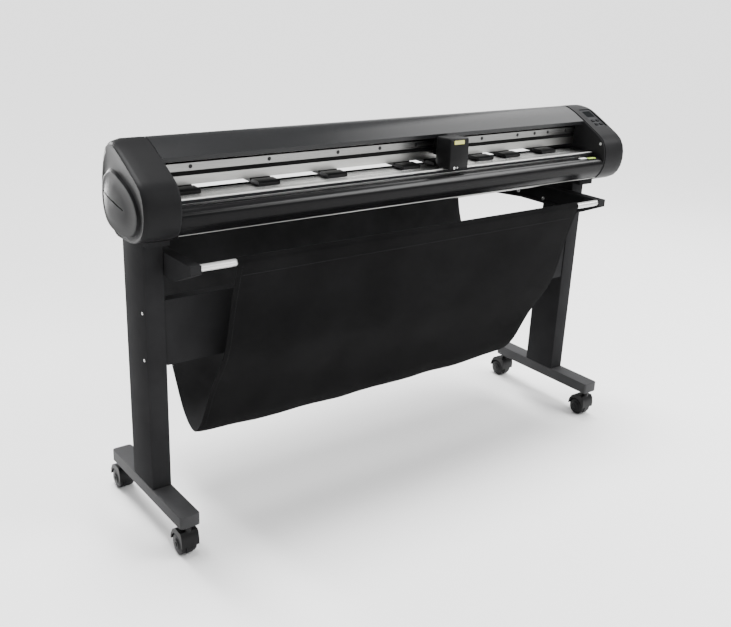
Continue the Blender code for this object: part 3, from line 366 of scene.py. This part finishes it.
def grained(name, colour, rough, metallic, grain, height, spread, edge, shine=0.5):
    """Coated or moulded surface: fine grain, faint mottling in colour and gloss, softened edges."""
    mat, shader, tree = new_material(name)
    fine = noise_texture(tree, (grain, grain, grain), 2.0)
    tree.links.new(mottled_colour(tree, colour, spread, COAT_MOTTLE, 5.0), shader.inputs["Base Color"])
    tree.links.new(map_range(tree, fine, rough * 0.9, rough * 1.12), shader.inputs["Roughness"])
    tree.links.new(bump(tree, fine, height, 0.6, edge), shader.inputs["Normal"])
    shader.inputs["Metallic"].default_value = metallic
    shader.inputs["Specular IOR Level"].default_value = shine
    return mat


def drawn(name, colour, rough, lines=1400.0, height=0.00002, spread=0.10, metallic=1.0, stretch=0.0):
    """Metal drawn or brushed along the head: long streaks in colour, gloss and height."""
    mat, shader, tree = new_material(name)
    streak = noise_texture(tree, (METAL_STREAK, lines, lines), 3.0)
    tree.links.new(mottled_colour(tree, colour, spread, METAL_MOTTLE, 3.0), shader.inputs["Base Color"])
    tree.links.new(map_range(tree, streak, rough * 0.8, rough * 1.3), shader.inputs["Roughness"])
    tree.links.new(bump(tree, streak, height, 0.4, METAL_EDGE), shader.inputs["Normal"])
    shader.inputs["Metallic"].default_value = metallic
    if stretch:
        across = tree.nodes.new("ShaderNodeTangent")
        across.direction_type = "RADIAL"
        across.axis = "X"
        tree.links.new(across.outputs["Tangent"], shader.inputs["Tangent"])
        shader.inputs["Anisotropic"].default_value = stretch
    return mat


def woven(name, dark, light):
    """Plain weave: two crossed sets of threads, uneven dye and a soft nap."""
    mat, shader, tree = new_material(name)
    threads = coordinates(tree, (1, 1, 1), "UV")
    over = tree.nodes.new("ShaderNodeMath")
    over.operation = "MULTIPLY"
    for direction, socket in zip(("X", "Y"), over.inputs):
        wave = tree.nodes.new("ShaderNodeTexWave")
        wave.bands_direction = direction
        wave.inputs["Scale"].default_value = THREADS
        wave.inputs["Distortion"].default_value = 0.6
        wave.inputs["Detail"].default_value = 1.0
        tree.links.new(threads, wave.inputs["Vector"])
        tree.links.new(wave.outputs["Fac"], socket)
    shade = tree.nodes.new("ShaderNodeMath")
    shade.operation = "MULTIPLY_ADD"
    shade.inputs[1].default_value = THREAD_SHARE
    tree.links.new(over.outputs["Value"], shade.inputs[0])
    tree.links.new(noise_texture(tree, CLOTH_MOTTLE, 6.0), shade.inputs[2])
    tree.links.new(ramp(tree, shade.outputs["Value"], dark, light, 0.30, 0.95), shader.inputs["Base Color"])
    tree.links.new(bump(tree, over.outputs["Value"], THREAD_HEIGHT, 0.5), shader.inputs["Normal"])
    shader.inputs["Roughness"].default_value = 0.85
    shader.inputs["Specular IOR Level"].default_value = 0.03
    shader.inputs["Sheen Weight"].default_value = 0.015
    shader.inputs["Sheen Roughness"].default_value = 0.5
    return mat


# Coats and plastics: colour, roughness, metallic, grain, its height, mottling, edge rounding and shine
POWDER = grained("powder_coat", (0.0205, 0.0205, 0.0213), 0.50, 0.0, 1500, 0.00006, 0.12, 0.0012, 0.004)
# The feet's coat is the posts' coat made lighter and glossier: painted light for the feet's lit tops.
FOOT = grained("foot_coat_painted_light", (0.0440, 0.0440, 0.0453), 0.48, 0.0, 1500, 0.00006, 0.12, 0.0012, 0.06)
CAP = grained("cap_moulding", (0.0105, 0.0105, 0.0110), 0.38, 0.0, 1900, 0.00003, 0.10, 0.0006, 0.045)
COVER = grained("cover_coat", (0.0092, 0.0095, 0.0102), 0.27, 0.0, 1700, 0.00002, 0.10, 0.0006, 0.20)
NOSE = grained("nose_coat", (0.0045, 0.0045, 0.0048), 0.25, 0.0, 1500, 0.00003, 0.12, 0.0008, 0.06)
NOSE_EDGE = grained("nose_edge", (0.0045, 0.0045, 0.0048), 0.22, 0.0, 1500, 0.00003, 0.12, 0.0008, 0.20)
MOULDED = grained("moulded_plastic", (0.0050, 0.0050, 0.0053), 0.42, 0.0, 1200, 0.00004, 0.15, 0.0007, 0.10)
CASTER = grained("caster_plastic", (0.0060, 0.0060, 0.0063), 0.36, 0.0, 700, 0.00003, 0.2, 0.0012, 0.16)
RUBBER = grained("roller_rubber", (0.0060, 0.0060, 0.0060), 0.75, 0.0, 800, 0.00008, 0.2, 0.0004, 0.10)
STRIP = grained("mat_strip", (0.62, 0.62, 0.60), 0.5, 0.0, 500, 0.00003, 0.05, 0.0)
PANEL = grained("panel_face", (0.018, 0.0185, 0.020), 0.42, 0.0, 1500, 0.00002, 0.1, 0.0006, 0.06)
KEYCAP = grained("key_caps", (0.0060, 0.0062, 0.0065), 0.50, 0.0, 1500, 0.00003, 0.08, 0.0004, 0.010)
SCREW = grained("screw_steel", (0.70, 0.70, 0.69), 0.28, 0.5, 1800, 0.00002, 0.08, 0.0002)
GRIT = grained("gritted_steel", (0.20, 0.20, 0.205), 0.55, 0.9, 2600, 0.00012, 0.2, 0.0004)
MOTOR = grained("motor_steel", (0.10, 0.10, 0.105), 0.45, 0.7, 900, 0.00003, 0.15, 0.0008)
GLASS = grained("display_window", (0.0030, 0.0038, 0.0042), 0.40, 0.0, 300, 0.000002, 0.1, 0.0003, 0.008)
BLACK_AND_RECESS_SHADE = grained("black_screw_and_recess_shade", (0.0070, 0.0070, 0.0072), 0.40, 0.0, 1800, 0.00002, 0.10, 0.0002, 0.20)
CARRIAGE = grained("carriage_hood", (0.0075, 0.0075, 0.0078), 0.32, 0.0, 1500, 0.00003, 0.12, 0.0050, 0.07)
WHITE = grained("pale_plate", (0.80, 0.81, 0.80), 0.4, 0.0, 900, 0.00002, 0.03, 0.0002)
GLYPH = grained("key_marks", (0.060, 0.061, 0.062), 0.5, 0.0, 900, 0.00002, 0.05, 0.0002, 0.02)
LIME = grained("lime_plate", (0.42, 0.60, 0.08), 0.4, 0.0, 900, 0.00002, 0.05, 0.0002)
YELLOW = grained("yellow_tab", (0.46, 0.45, 0.12), 0.4, 0.0, 900, 0.00002, 0.06, 0.0002)
THREAD = grained("black_thread", (0.020, 0.020, 0.021), 0.7, 0.0, 4000, 0.0001, 0.2, 0.0, 0.2)

# Drawn metals: colour, roughness, streaks, their height, mottling, metallic and stretch of the highlight
PLATEN = drawn("bed_aluminium", (0.62, 0.62, 0.61), 0.27, 1400, 0.000010, 0.08, 1.0, 0.82)
BEAM = drawn("beam_aluminium", (0.33, 0.33, 0.32), 0.34)
RAIL = drawn("rail_steel", (0.22, 0.22, 0.215), 0.28)
PLATED = drawn("plated_tube", (0.60, 0.60, 0.59), 0.28, 500, 0.000008, 0.03, 0.55)

# Cloth: darkest and lightest thread, outside and inside; the inside is the same weave painted about five
# times lighter, painted light on its shaded face
CLOTH = woven("black_weave", (0.0022, 0.0022, 0.0023), (0.0070, 0.0070, 0.0073))
LINING_PAINTED_LIGHT = woven("black_weave_inside_painted_light", (0.0120, 0.0120, 0.0124), (0.0360, 0.0360, 0.0370))

LOOKS = {
    POWDER: ("left_post", "right_post", "stretcher", "left_arm", "right_arm", "left_side_frame",
             "right_side_frame"),
    FOOT: ("left_foot", "right_foot"),
    CAP: ("left_cap", "right_cap"),
    COVER: ("top_cover",),
    NOSE: ("front_nose", "belly_pan"),
    PLATEN: ("platen",),
    BEAM: ("guide_beam",),
    RAIL: ("guide_rail", "drive_pulley", "idler_pulley"),
    STRIP: ("cutting_strip",),
    PLATED: ("front_tube", "rear_tube", "blade_holder"),
    GRIT: ("grit_shaft",),
    MOTOR: ("lift_bar", "carriage_motor", "feed_motor"),
    MOULDED: ("power_inlet",),
    CARRIAGE: ("carriage",),
    PANEL: ("control_panel",),
    RUBBER: ("drive_belt",),
    CLOTH: ("basket_cloth",),
}
FAMILIES = (("caster", CASTER), ("pinch_arm", MOULDED), ("pinch_roller", RUBBER), ("panel_key", KEYCAP))


def soft_shading():
    """Node group that welds a CAD node's triangles and shades it smooth up to an edge angle."""
    group = bpy.data.node_groups.new("soft_shading", "GeometryNodeTree")
    for direction in ("INPUT", "OUTPUT"):
        group.interface.new_socket("Geometry", in_out=direction, socket_type="NodeSocketGeometry")
    kinds = ("NodeGroupInput", "GeometryNodeRemoveAttribute", "GeometryNodeMergeByDistance",
             "GeometryNodeSetShadeSmooth", "GeometryNodeSetShadeSmooth", "NodeGroupOutput")
    start, forget, weld, faces, edges, end = (group.nodes.new(kind) for kind in kinds)
    forget.inputs["Name"].default_value = "custom_normal"
    weld.inputs["Distance"].default_value = WELD
    faces.domain, edges.domain = "FACE", "EDGE"
    faces.inputs["Shade Smooth"].default_value = True
    edges.inputs["Shade Smooth"].default_value = False
    for before, after in zip((start, forget, weld, faces, edges), (forget, weld, faces, edges, end)):
        group.links.new(before.outputs[0], after.inputs[0])
    angle = group.nodes.new("GeometryNodeInputMeshEdgeAngle")
    steep = group.nodes.new("FunctionNodeCompare")
    steep.operation = "GREATER_THAN"
    steep.inputs["B"].default_value = SHARP_EDGE
    group.links.new(angle.outputs["Unsigned Angle"], steep.inputs["A"])
    group.links.new(steep.outputs["Result"], edges.inputs["Selection"])
    return group


def dress_nodes():
    """Material and soft shading for every CAD node."""
    looks = {node: mat for mat, nodes in LOOKS.items() for node in nodes}
    shading = soft_shading()
    for name, node in NODES.items():
        node.modifiers.new("soft_shading", "NODES").node_group = shading
        mat = looks.get(name) or next(mat for family, mat in FAMILIES if name.startswith(family))
        node.data.materials.clear()
        node.data.materials.append(mat)


# Small pieces
def add_piece(name, bm, mat, body, sharp=35.0):
    """Piece from a finished mesh, smooth up to an edge angle, on its body and with its finish."""
    bmesh.ops.recalc_face_normals(bm, faces=bm.faces)
    mesh = bpy.data.meshes.new(name)
    bm.to_mesh(mesh)
    bm.free()
    mesh.materials.append(mat)
    mesh.shade_smooth()
    mesh.set_sharp_from_angle(angle=math.radians(sharp))
    piece = bpy.data.objects.new(name, mesh)
    bpy.context.scene.collection.objects.link(piece)
    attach(piece, body)
    return piece


def stack(bm, loops):
    """Skin over loops of equal count, closed at both ends."""
    rings = [[bm.verts.new(p) for p in loop] for loop in loops]
    count = len(rings[0])
    for low, high in zip(rings, rings[1:]):
        for i in range(count):
            j = (i + 1) % count
            bm.faces.new((low[i], low[j], high[j], high[i]))
    bm.faces.new(rings[0])
    bm.faces.new(rings[-1])


def ring(radius, z, sides):
    turns = [2 * math.pi * k / sides for k in range(sides)]
    return [(radius * math.cos(a), radius * math.sin(a), z) for a in turns]


def facing(place, axis):
    """Matrix whose Z points along the axis, at a place."""
    return Matrix.Translation(place) @ Vector(axis).to_track_quat("Z", "Y").to_matrix().to_4x4()


def hexagon(reach, z):
    """Six-sided loop with as many points as a screw has sides."""
    loop = []
    for k in range(SCREW_SIDES):
        a = 2 * math.pi * k / SCREW_SIDES
        flat = (a + math.pi / 6) % (math.pi / 3) - math.pi / 6
        far = reach / math.cos(flat)
        loop.append((far * math.cos(a), far * math.sin(a), z))
    return loop


def add_screw(name, place, axis, radius, high, dark_head=False, body=BASE):
    """Washer, domed head and a six-sided key recess painted dark as shade; a blacked head sits on a washer
    like the rail.
    """
    loops = [ring(radius * WASHER, -SCREW_SUNK, SCREW_SIDES)]
    loops += [ring(radius * r, high * z, SCREW_SIDES) for r, z in SCREW_PROFILE]
    first = 2 if dark_head else len(loops)
    loops += [hexagon(radius * KEY_WIDE, z) for z in (high, high - high * KEY_DEEP)]
    bm = bmesh.new()
    stack(bm, loops)
    bm.faces.ensure_lookup_table()
    # The key recess takes the black finish as painted shade; a blacked head takes it as its own colour.
    for face in (*bm.faces[first * SCREW_SIDES:-2], bm.faces[-1]):
        face.material_index = 1
    bmesh.ops.transform(bm, matrix=facing(place, axis), verts=bm.verts)
    washer = RAIL if dark_head else SCREW
    add_piece(name, bm, washer, body).data.materials.append(BLACK_AND_RECESS_SHADE)


def rounded_rect(width, height, radius, steps=4):
    points = []
    for quarter, (sx, sy) in enumerate(((1, 1), (-1, 1), (-1, -1), (1, -1))):
        for k in range(steps + 1):
            a = math.pi / 2 * (quarter + k / steps)
            x = sx * (width / 2 - radius) + radius * math.cos(a)
            y = sy * (height / 2 - radius) + radius * math.sin(a)
            points.append((x, y))
    return points


def add_relief(name, place, axis, outline, thick, mat, body=BASE, up=(0, 0, 1)):
    """Thin raised plate of a given outline with a turned-down edge."""
    normal = Vector(axis).normalized()
    side = Vector(up).cross(normal).normalized()
    turn = Matrix((side, normal.cross(side), normal)).transposed().to_4x4()
    reach = max(abs(c) for point in outline for c in point)
    loops = []
    for size, z in ((1.0, -0.0001), (1.0, thick * 0.55), (1.0 - thick * 0.45 / reach, thick)):
        loops.append([(x * size, y * size, z) for x, y in outline])
    bm = bmesh.new()
    stack(bm, loops)
    bmesh.ops.transform(bm, matrix=Matrix.Translation(place) @ turn, verts=bm.verts)
    add_piece(name, bm, mat, body)


def add_plate(name, place, axis, size, mat, body=BASE, up=(0, 0, 1)):
    """Raised plate with round corners."""
    width, height, thick = size
    outline = rounded_rect(width, height, min(width, height) * CORNER)
    add_relief(name, place, axis, outline, thick, mat, body, up)


def add_bar(name, outline, ends, mat):
    """Bar along the head with a (y, z) outline, drawn in a little at both ends."""
    low, high = ends
    points = np.array(outline)
    mid = points.mean(axis=0)
    loops = []
    for x, size in ((low, BAR_TAPER), (low + BAR_TIP, 1.0), (high - BAR_TIP, 1.0), (high, BAR_TAPER)):
        loops.append([(x, y, z) for y, z in mid + (points - mid) * size])
    bm = bmesh.new()
    stack(bm, loops)
    add_piece(name, bm, mat, BASE)


def add_fasteners():
    """Screws along the rail, and bolts on the posts, the arms and the end frames."""
    rail_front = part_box("guide_rail")[0].y
    for k, x in enumerate(RAIL_SCREWS_X, 1):
        place = (x, rail_front, RAIL_SCREW_Z)
        add_screw(f"rail_screw_{k:02d}", place, (0, -1, 0), RAIL_SCREW, RAIL_SCREW_HIGH, True)
    for hand, side in (("left", -1), ("right", 1)):
        near, far = (1, 0) if side < 0 else (0, 1)
        faces = (
            ("post_bolt", side * POST_OUTER, side, POST_BOLTS, POST_BOLT),
            ("arm_bolt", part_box(f"{hand}_arm")[far].x - side * ARM_WALL, -side, ARM_BOLTS, ARM_BOLT),
            ("frame_screw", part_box(f"{hand}_side_frame")[near].x, -side, FRAME_SCREWS, FRAME_SCREW),
        )
        for kind, x, out, places, radius in faces:
            for k, (y, z) in enumerate(places, 1):
                bent = ARM_BEND if kind == "arm_bolt" and y > ARM_BEND_Y else 0.0
                place = (x + out * bent * (y - ARM_BEND_Y), y + MACHINE_Y, z)
                add_screw(f"{hand}_{kind}_{k}", place, (out, -bent, 0), radius, radius * HEAD_HIGH)


# Cloth
def spline(points, per_span):
    """Points on a curve that runs through the given ones."""
    pts = [np.array(p, float) for p in points]
    found = []
    for i in range(len(pts) - 1):
        b, c = pts[i], pts[i + 1]
        a = pts[i - 1] if i > 0 else 2 * b - c
        d = pts[i + 2] if i + 2 < len(pts) else 2 * c - b
        for k in range(per_span):
            t = k / per_span
            square, cube = (2 * a - 5 * b + 4 * c - d) * t**2, (3 * b - a - 3 * c + d) * t**3
            found.append(0.5 * (2 * b + (c - a) * t + square + cube))
    return found + [pts[-1]]


def hem_arc(tube, ends):
    """Points (y, z) of a hem around a tube."""
    centre = TUBES[tube]
    radius = TUBE_RADIUS + HEM_GAP + CLOTH_THICK / 2
    angles = np.radians(np.linspace(*ends, HEM_POINTS))
    return [np.array((centre.y + radius * math.cos(a), centre.z + radius * math.sin(a))) for a in angles]


def cloth_path():
    """The cloth's middle line (y, z): hem over the front tube, sling, hem over the rear tube."""
    front = hem_arc("front_tube", FRONT_HEM)
    rear = hem_arc("rear_tube", REAR_HEM)
    hung = [(y + MACHINE_Y, z) for y, z in CLOTH_CURVE]
    return np.array(front[:-1] + spline((front[-1], *hung, rear[0]), CLOTH_STEPS) + rear[1:])


class Cloth:
    """The hung sheet as a surface: a place and a normal for each column and each step along its path."""

    def __init__(self):
        self.path = cloth_path()
        steps = np.linalg.norm(np.diff(self.path, axis=0), axis=1)
        self.length = np.concatenate(([0], np.cumsum(steps)))
        along = np.gradient(self.path, axis=0)
        along /= np.linalg.norm(along, axis=1)[:, None]
        self.inward = np.stack((along[:, 1], -along[:, 0]), axis=1)
        free = (self.length - CLOTH_HELD) / (self.length[-1] - 2 * CLOTH_HELD)
        self.hang = np.sin(math.pi * np.clip(free, 0, 1)) ** 2

    def column(self, x):
        """Places along one column: sag, soft flutes, drag lines from the corners and curled side edges."""
        u = x / CLOTH_HALF
        flute = FLUTE_DEPTH * math.cos(FLUTES * math.pi * u) + CLOTH_BELLY * (1 - u * u)
        s = self.length
        ripple = np.array([noise.noise(Vector((x * 5.0, q * 3.0, 1.7))) for q in s])
        drag = np.array([noise.noise(Vector((x * 14.0 + q * 2.0, q * 1.2, 4.2))) for q in s])
        edge = max(0.0, (abs(u) - CURL_START) / CURL_SPAN)
        curl = edge * edge * (CURL_DEPTH + CURL_WAVE * np.sin(9.0 * s + (2.0 if u > 0 else 0.0)))
        off = self.hang * (flute + RIPPLE_DEPTH * ripple + DRAG_DEPTH * drag + curl)
        places = self.path - self.inward * off[:, None]
        places[:, 1] -= self.hang * CLOTH_SAG * (1 - u**4)
        return places


def add_cloth():
    """The sheet with both faces, side edges and ends, and its stitches."""
    cloth = Cloth()
    columns = np.linspace(-CLOTH_HALF, CLOTH_HALF, CLOTH_COLUMNS + 1)
    count = len(cloth.path)
    bm = bmesh.new()
    uv = bm.loops.layers.uv.new("weave")
    skins = []
    for x in columns:
        doubled = SIDE_HEM_MORE if CLOTH_HALF - abs(x) < SIDE_HEM else 0.0
        half = CLOTH_THICK / 2 + doubled
        middle = cloth.column(x)
        for side in (-1, 1):
            pts = middle - side * cloth.inward * half
            skins.append([bm.verts.new((x, y, z)) for y, z in pts])
    outer, inner = skins[0::2], skins[1::2]

    def quad(corners, marks, inside=False):
        face = bm.faces.new(corners)
        face.material_index = int(inside)
        for loop, mark in zip(face.loops, marks):
            loop[uv].uv = mark

    for c in range(CLOTH_COLUMNS):
        for i in range(count - 1):
            spots = ((c, i), (c, i + 1), (c + 1, i + 1), (c + 1, i))
            marks = [(columns[a], cloth.length[b]) for a, b in spots]
            for skin in (outer, inner):
                quad([skin[a][b] for a, b in spots], marks, skin is inner)
    for c in (0, CLOTH_COLUMNS):
        for i in range(count - 1):
            mark = (columns[c], cloth.length[i])
            quad((outer[c][i], outer[c][i + 1], inner[c][i + 1], inner[c][i]), [mark] * 4)
    for i in (0, count - 1):
        for c in range(CLOTH_COLUMNS):
            mark = (columns[c], cloth.length[i])
            quad((outer[c][i], outer[c + 1][i], inner[c + 1][i], inner[c][i]), [mark] * 4)
    piece = add_piece("hung_cloth", bm, CLOTH, BASE, 60)
    # The inner face takes the lighter copy of the weave: painted light where the inside lies in shade.
    piece.data.materials.append(LINING_PAINTED_LIGHT)
    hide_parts("basket_cloth")
    seams = add_stitches(cloth)


def add_stitches(cloth):
    """Stitch rows: one under each tube and one along each side hem, on both faces of the cloth."""
    hook = float(cloth.length[HEM_POINTS - 1])
    rows = []
    pitch = STITCH + STITCH_GAP
    for s in (hook + TOP_HEM, cloth.length[-1] - hook - TOP_HEM):
        for k in range(int(2 * (CLOTH_HALF - SIDE_HEM) / pitch)):
            x = -CLOTH_HALF + SIDE_HEM + (k + 0.5) * pitch
            rows.append((x, s, True))
    start, end = hook + ROW_END, cloth.length[-1] - hook - ROW_END
    for x in (-CLOTH_HALF + SIDE_HEM * SIDE_ROW, CLOTH_HALF - SIDE_HEM * SIDE_ROW):
        for k in range(int((end - start) / pitch)):
            rows.append((x, start + (k + 0.5) * pitch, False))
    columns = {}
    bm = bmesh.new()
    for x, s, across in rows:
        add_stitch(bm, cloth, columns, x, s, across)
    return add_piece("hem_stitches", bm, THREAD, BASE, 80)


def add_stitch(bm, cloth, columns, x, s, across):
    """One stitch on each face of the cloth, at a column and a length along its path."""
    key = round(x, 5)
    if key not in columns:
        columns[key] = cloth.column(x)
    places = columns[key]

    def spot(distance):
        return np.array([np.interp(distance, cloth.length, places[:, k]) for k in (0, 1)])

    normal = np.array([np.interp(s, cloth.length, -cloth.inward[:, k]) for k in (0, 1)])
    normal /= np.linalg.norm(normal)
    here = spot(s)
    ahead = spot(s + 0.001) - here
    along = Vector((1, 0, 0)) if across else Vector((0, *ahead)).normalized()
    out = Vector((0, *normal))
    cross = along.cross(out)
    for side in (1, -1):
        base = Vector((x, *here)) + out * side * (CLOTH_THICK / 2 + THREAD_LIFT)
        loops = []
        for t, size in STITCH_RINGS:
            centre = base + along * STITCH * t
            loops.append([centre + (cross * math.cos(a) + out * math.sin(a)) * THREAD_RADIUS * size
                          for a in (0, math.pi / 2, math.pi, 3 * math.pi / 2)])
        stack(bm, loops)


# Nose
def add_nose():
    """Bent sheet along the bed's front: shelf, rounding, round front and a turned-up foot."""
    (y0, z0), r = NOSE_ROUND, NOSE_RADIUS
    angles = np.linspace(0, math.pi / 2, NOSE_ROUND_STEPS)
    turn = [(y0 - r * math.sin(a), z0 + r * math.cos(a)) for a in angles]
    front = [tuple(p) for p in spline((turn[-1], *NOSE_FRONT), NOSE_FRONT_STEPS)]
    path = np.array([(NOSE_BACK, z0 + r), *turn, *front[1:], NOSE_FOOT]) + (MACHINE_Y, 0)
    along = np.gradient(path, axis=0)
    along /= np.linalg.norm(along, axis=1)[:, None]
    inward = np.stack((-along[:, 1], along[:, 0]), axis=1)
    outline = [*path, *(path + inward * NOSE_THICK)[::-1]]
    low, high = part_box("front_nose")
    bm = bmesh.new()
    stack(bm, [[(x, y, z) for y, z in outline] for x in (low.x, high.x)])
    bmesh.ops.recalc_face_normals(bm, faces=bm.faces)
    for face in bm.faces:
        face.material_index = int(face.normal.z > EDGE_LIFT)
    nose = add_piece("nose_sheet", bm, NOSE, BASE)
    nose.data.materials.append(NOSE_EDGE)
    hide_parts("front_nose")


# Fittings
def add_carriage_fittings():
    """Plain tab at the top of the hood's front, and the blade's clamp screws at its foot."""
    low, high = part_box("carriage")
    middle = (low.x + high.x) / 2
    place = (middle - TAB_SHIFT, low.y + TAB_BACK, high.z - TAB_DROP)
    add_plate("carriage_index_tab", place, TAB_AXIS, TAB_SIZE, YELLOW, "carriage")
    for k, (right, radius) in enumerate(CLAMP_SCREWS, 1):
        place = (middle + right, low.y, low.z + CLAMP_UP)
        add_screw(f"blade_clamp_screw_{k}", place, (0, -1, 0), radius, radius * HEAD_HIGH, body="carriage")


def add_panel_fittings():
    """Display window in its recess and a raised arrow on each key."""
    low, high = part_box("control_panel")
    normal = Vector(next(j["axis"] for j in frame["joints"] if j["name"] == "key_press_1")) * -1
    uphill = Vector((1, 0, 0)).cross(normal)
    window = (low + high) / 2 + uphill * WINDOW_UPHILL + normal * WINDOW_LIFT
    add_plate("display_window", window, normal, WINDOW_SIZE, GLASS, BASE, uphill)
    for k, degrees in enumerate(ARROW_TURNS, 1):
        low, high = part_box(f"panel_key_{k}")
        turn = Matrix.Rotation(math.radians(degrees), 2)
        outline = [turn @ Vector(p) for p in ARROW]
        place = (low + high) / 2 + normal * KEY_HALF_HEIGHT
        add_relief(f"key_arrow_{k}", place, normal, outline, ARROW_THICK, GLYPH, f"key_{k}",
                   -uphill)


def add_head_trim():
    """Painted shade as dark strips in the beam's groove and on the bed's front edge, a bright bead along the
    pan's lip, plain marks on the shelf.
    """
    low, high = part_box("guide_beam")
    (front, back), (z0, z1), cut = GROOVE_Y, GROOVE_Z, GROOVE_CUT
    crease = (z0 + z1) / 2
    outline = ((back, z0), (back, z1), (front + cut, z1), (front, z1 - cut), (front, crease + cut),
               (front + GROOVE_CREASE, crease), (front, crease - cut), (front, z0 + cut), (front + cut, z0))
    strip = [(y + MACHINE_Y, z) for y, z in outline]
    # Dark strip in the beam's groove: painted shade.
    add_bar("groove_painted_shade", strip, (low.x + TRIM_INSET, high.x - TRIM_INSET), RUBBER)
    low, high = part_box("platen")
    (front, back), (z0, z1), cut = BED_EDGE_Y, BED_EDGE_Z, BED_EDGE_CUT
    outline = ((back, z0), (back, z1), (front + cut, z1), (front, z1 - cut), (front, z0 + cut),
               (front + cut, z0))
    strip = [(y + MACHINE_Y, z) for y, z in outline]
    # Dark strip over the bed's front edge: painted shade.
    add_bar("bed_edge_painted_shade", strip, (low.x + TRIM_INSET, high.x - TRIM_INSET), PANEL)
    low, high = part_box("belly_pan")
    lip = min((v.co for v in NODES["belly_pan"].data.vertices), key=lambda p: p.y)
    bead = [(lip.y + y, lip.z + z) for y, z, _ in ring(TRIM_RADIUS, 0, 12)]
    add_bar("nose_trim", bead, (low.x + TRIM_INSET, high.x - TRIM_INSET), BEAM)
    shelf = NOSE_ROUND[1] + NOSE_RADIUS
    for (name, x, y, width), mat in zip(MARKS, (WHITE, LIME)):
        place = (x, y + MACHINE_Y, shelf)
        size = (width, MARK_DEPTH, MARK_THICK)
        add_plate(name, place, (0, 0, 1), size, mat, BASE, (0, 1, 0))


def add_hub_caps():
    """Turned cap with a raised boss on the outer side of each caster wheel."""
    for corner in CASTERS:
        low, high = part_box(f"caster_wheels_{corner}")
        axle = (low + high) / 2
        bm = bmesh.new()
        for side, x in ((-1, low.x), (1, high.x)):
            turn = facing((x, axle.y, axle.z), (side, 0, 0))
            stack(bm, [[turn @ Vector(p) for p in ring(r, z, 24)] for r, z in HUB_PROFILE])
        add_piece(f"hub_caps_{corner}", bm, CASTER, f"wheels_{corner}")


def add_inlet_pins():
    """Three flat pins with cut tips at the bottom of the inlet's socket."""
    low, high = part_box("power_inlet")
    x, z, floor = (low.x + high.x) / 2, (low.z + high.z) / 2, high.y - INLET_DEPTH
    bm = bmesh.new()
    for right, up in INLET_PINS:
        loops = []
        for y, width, height in PIN_RINGS:
            flat = rounded_rect(width, height, PIN_CORNER, 2)
            loops.append([(x + right + a, floor + y, z + up + b) for a, b in flat])
        stack(bm, loops)
    add_piece("inlet_pins", bm, SCREW, BASE)


add_camera()
add_floor()
add_studio()
dress_nodes()
add_cloth()
add_nose()
add_fasteners()
add_carriage_fittings()
add_panel_fittings()
add_head_trim()
add_hub_caps()
add_inlet_pins()
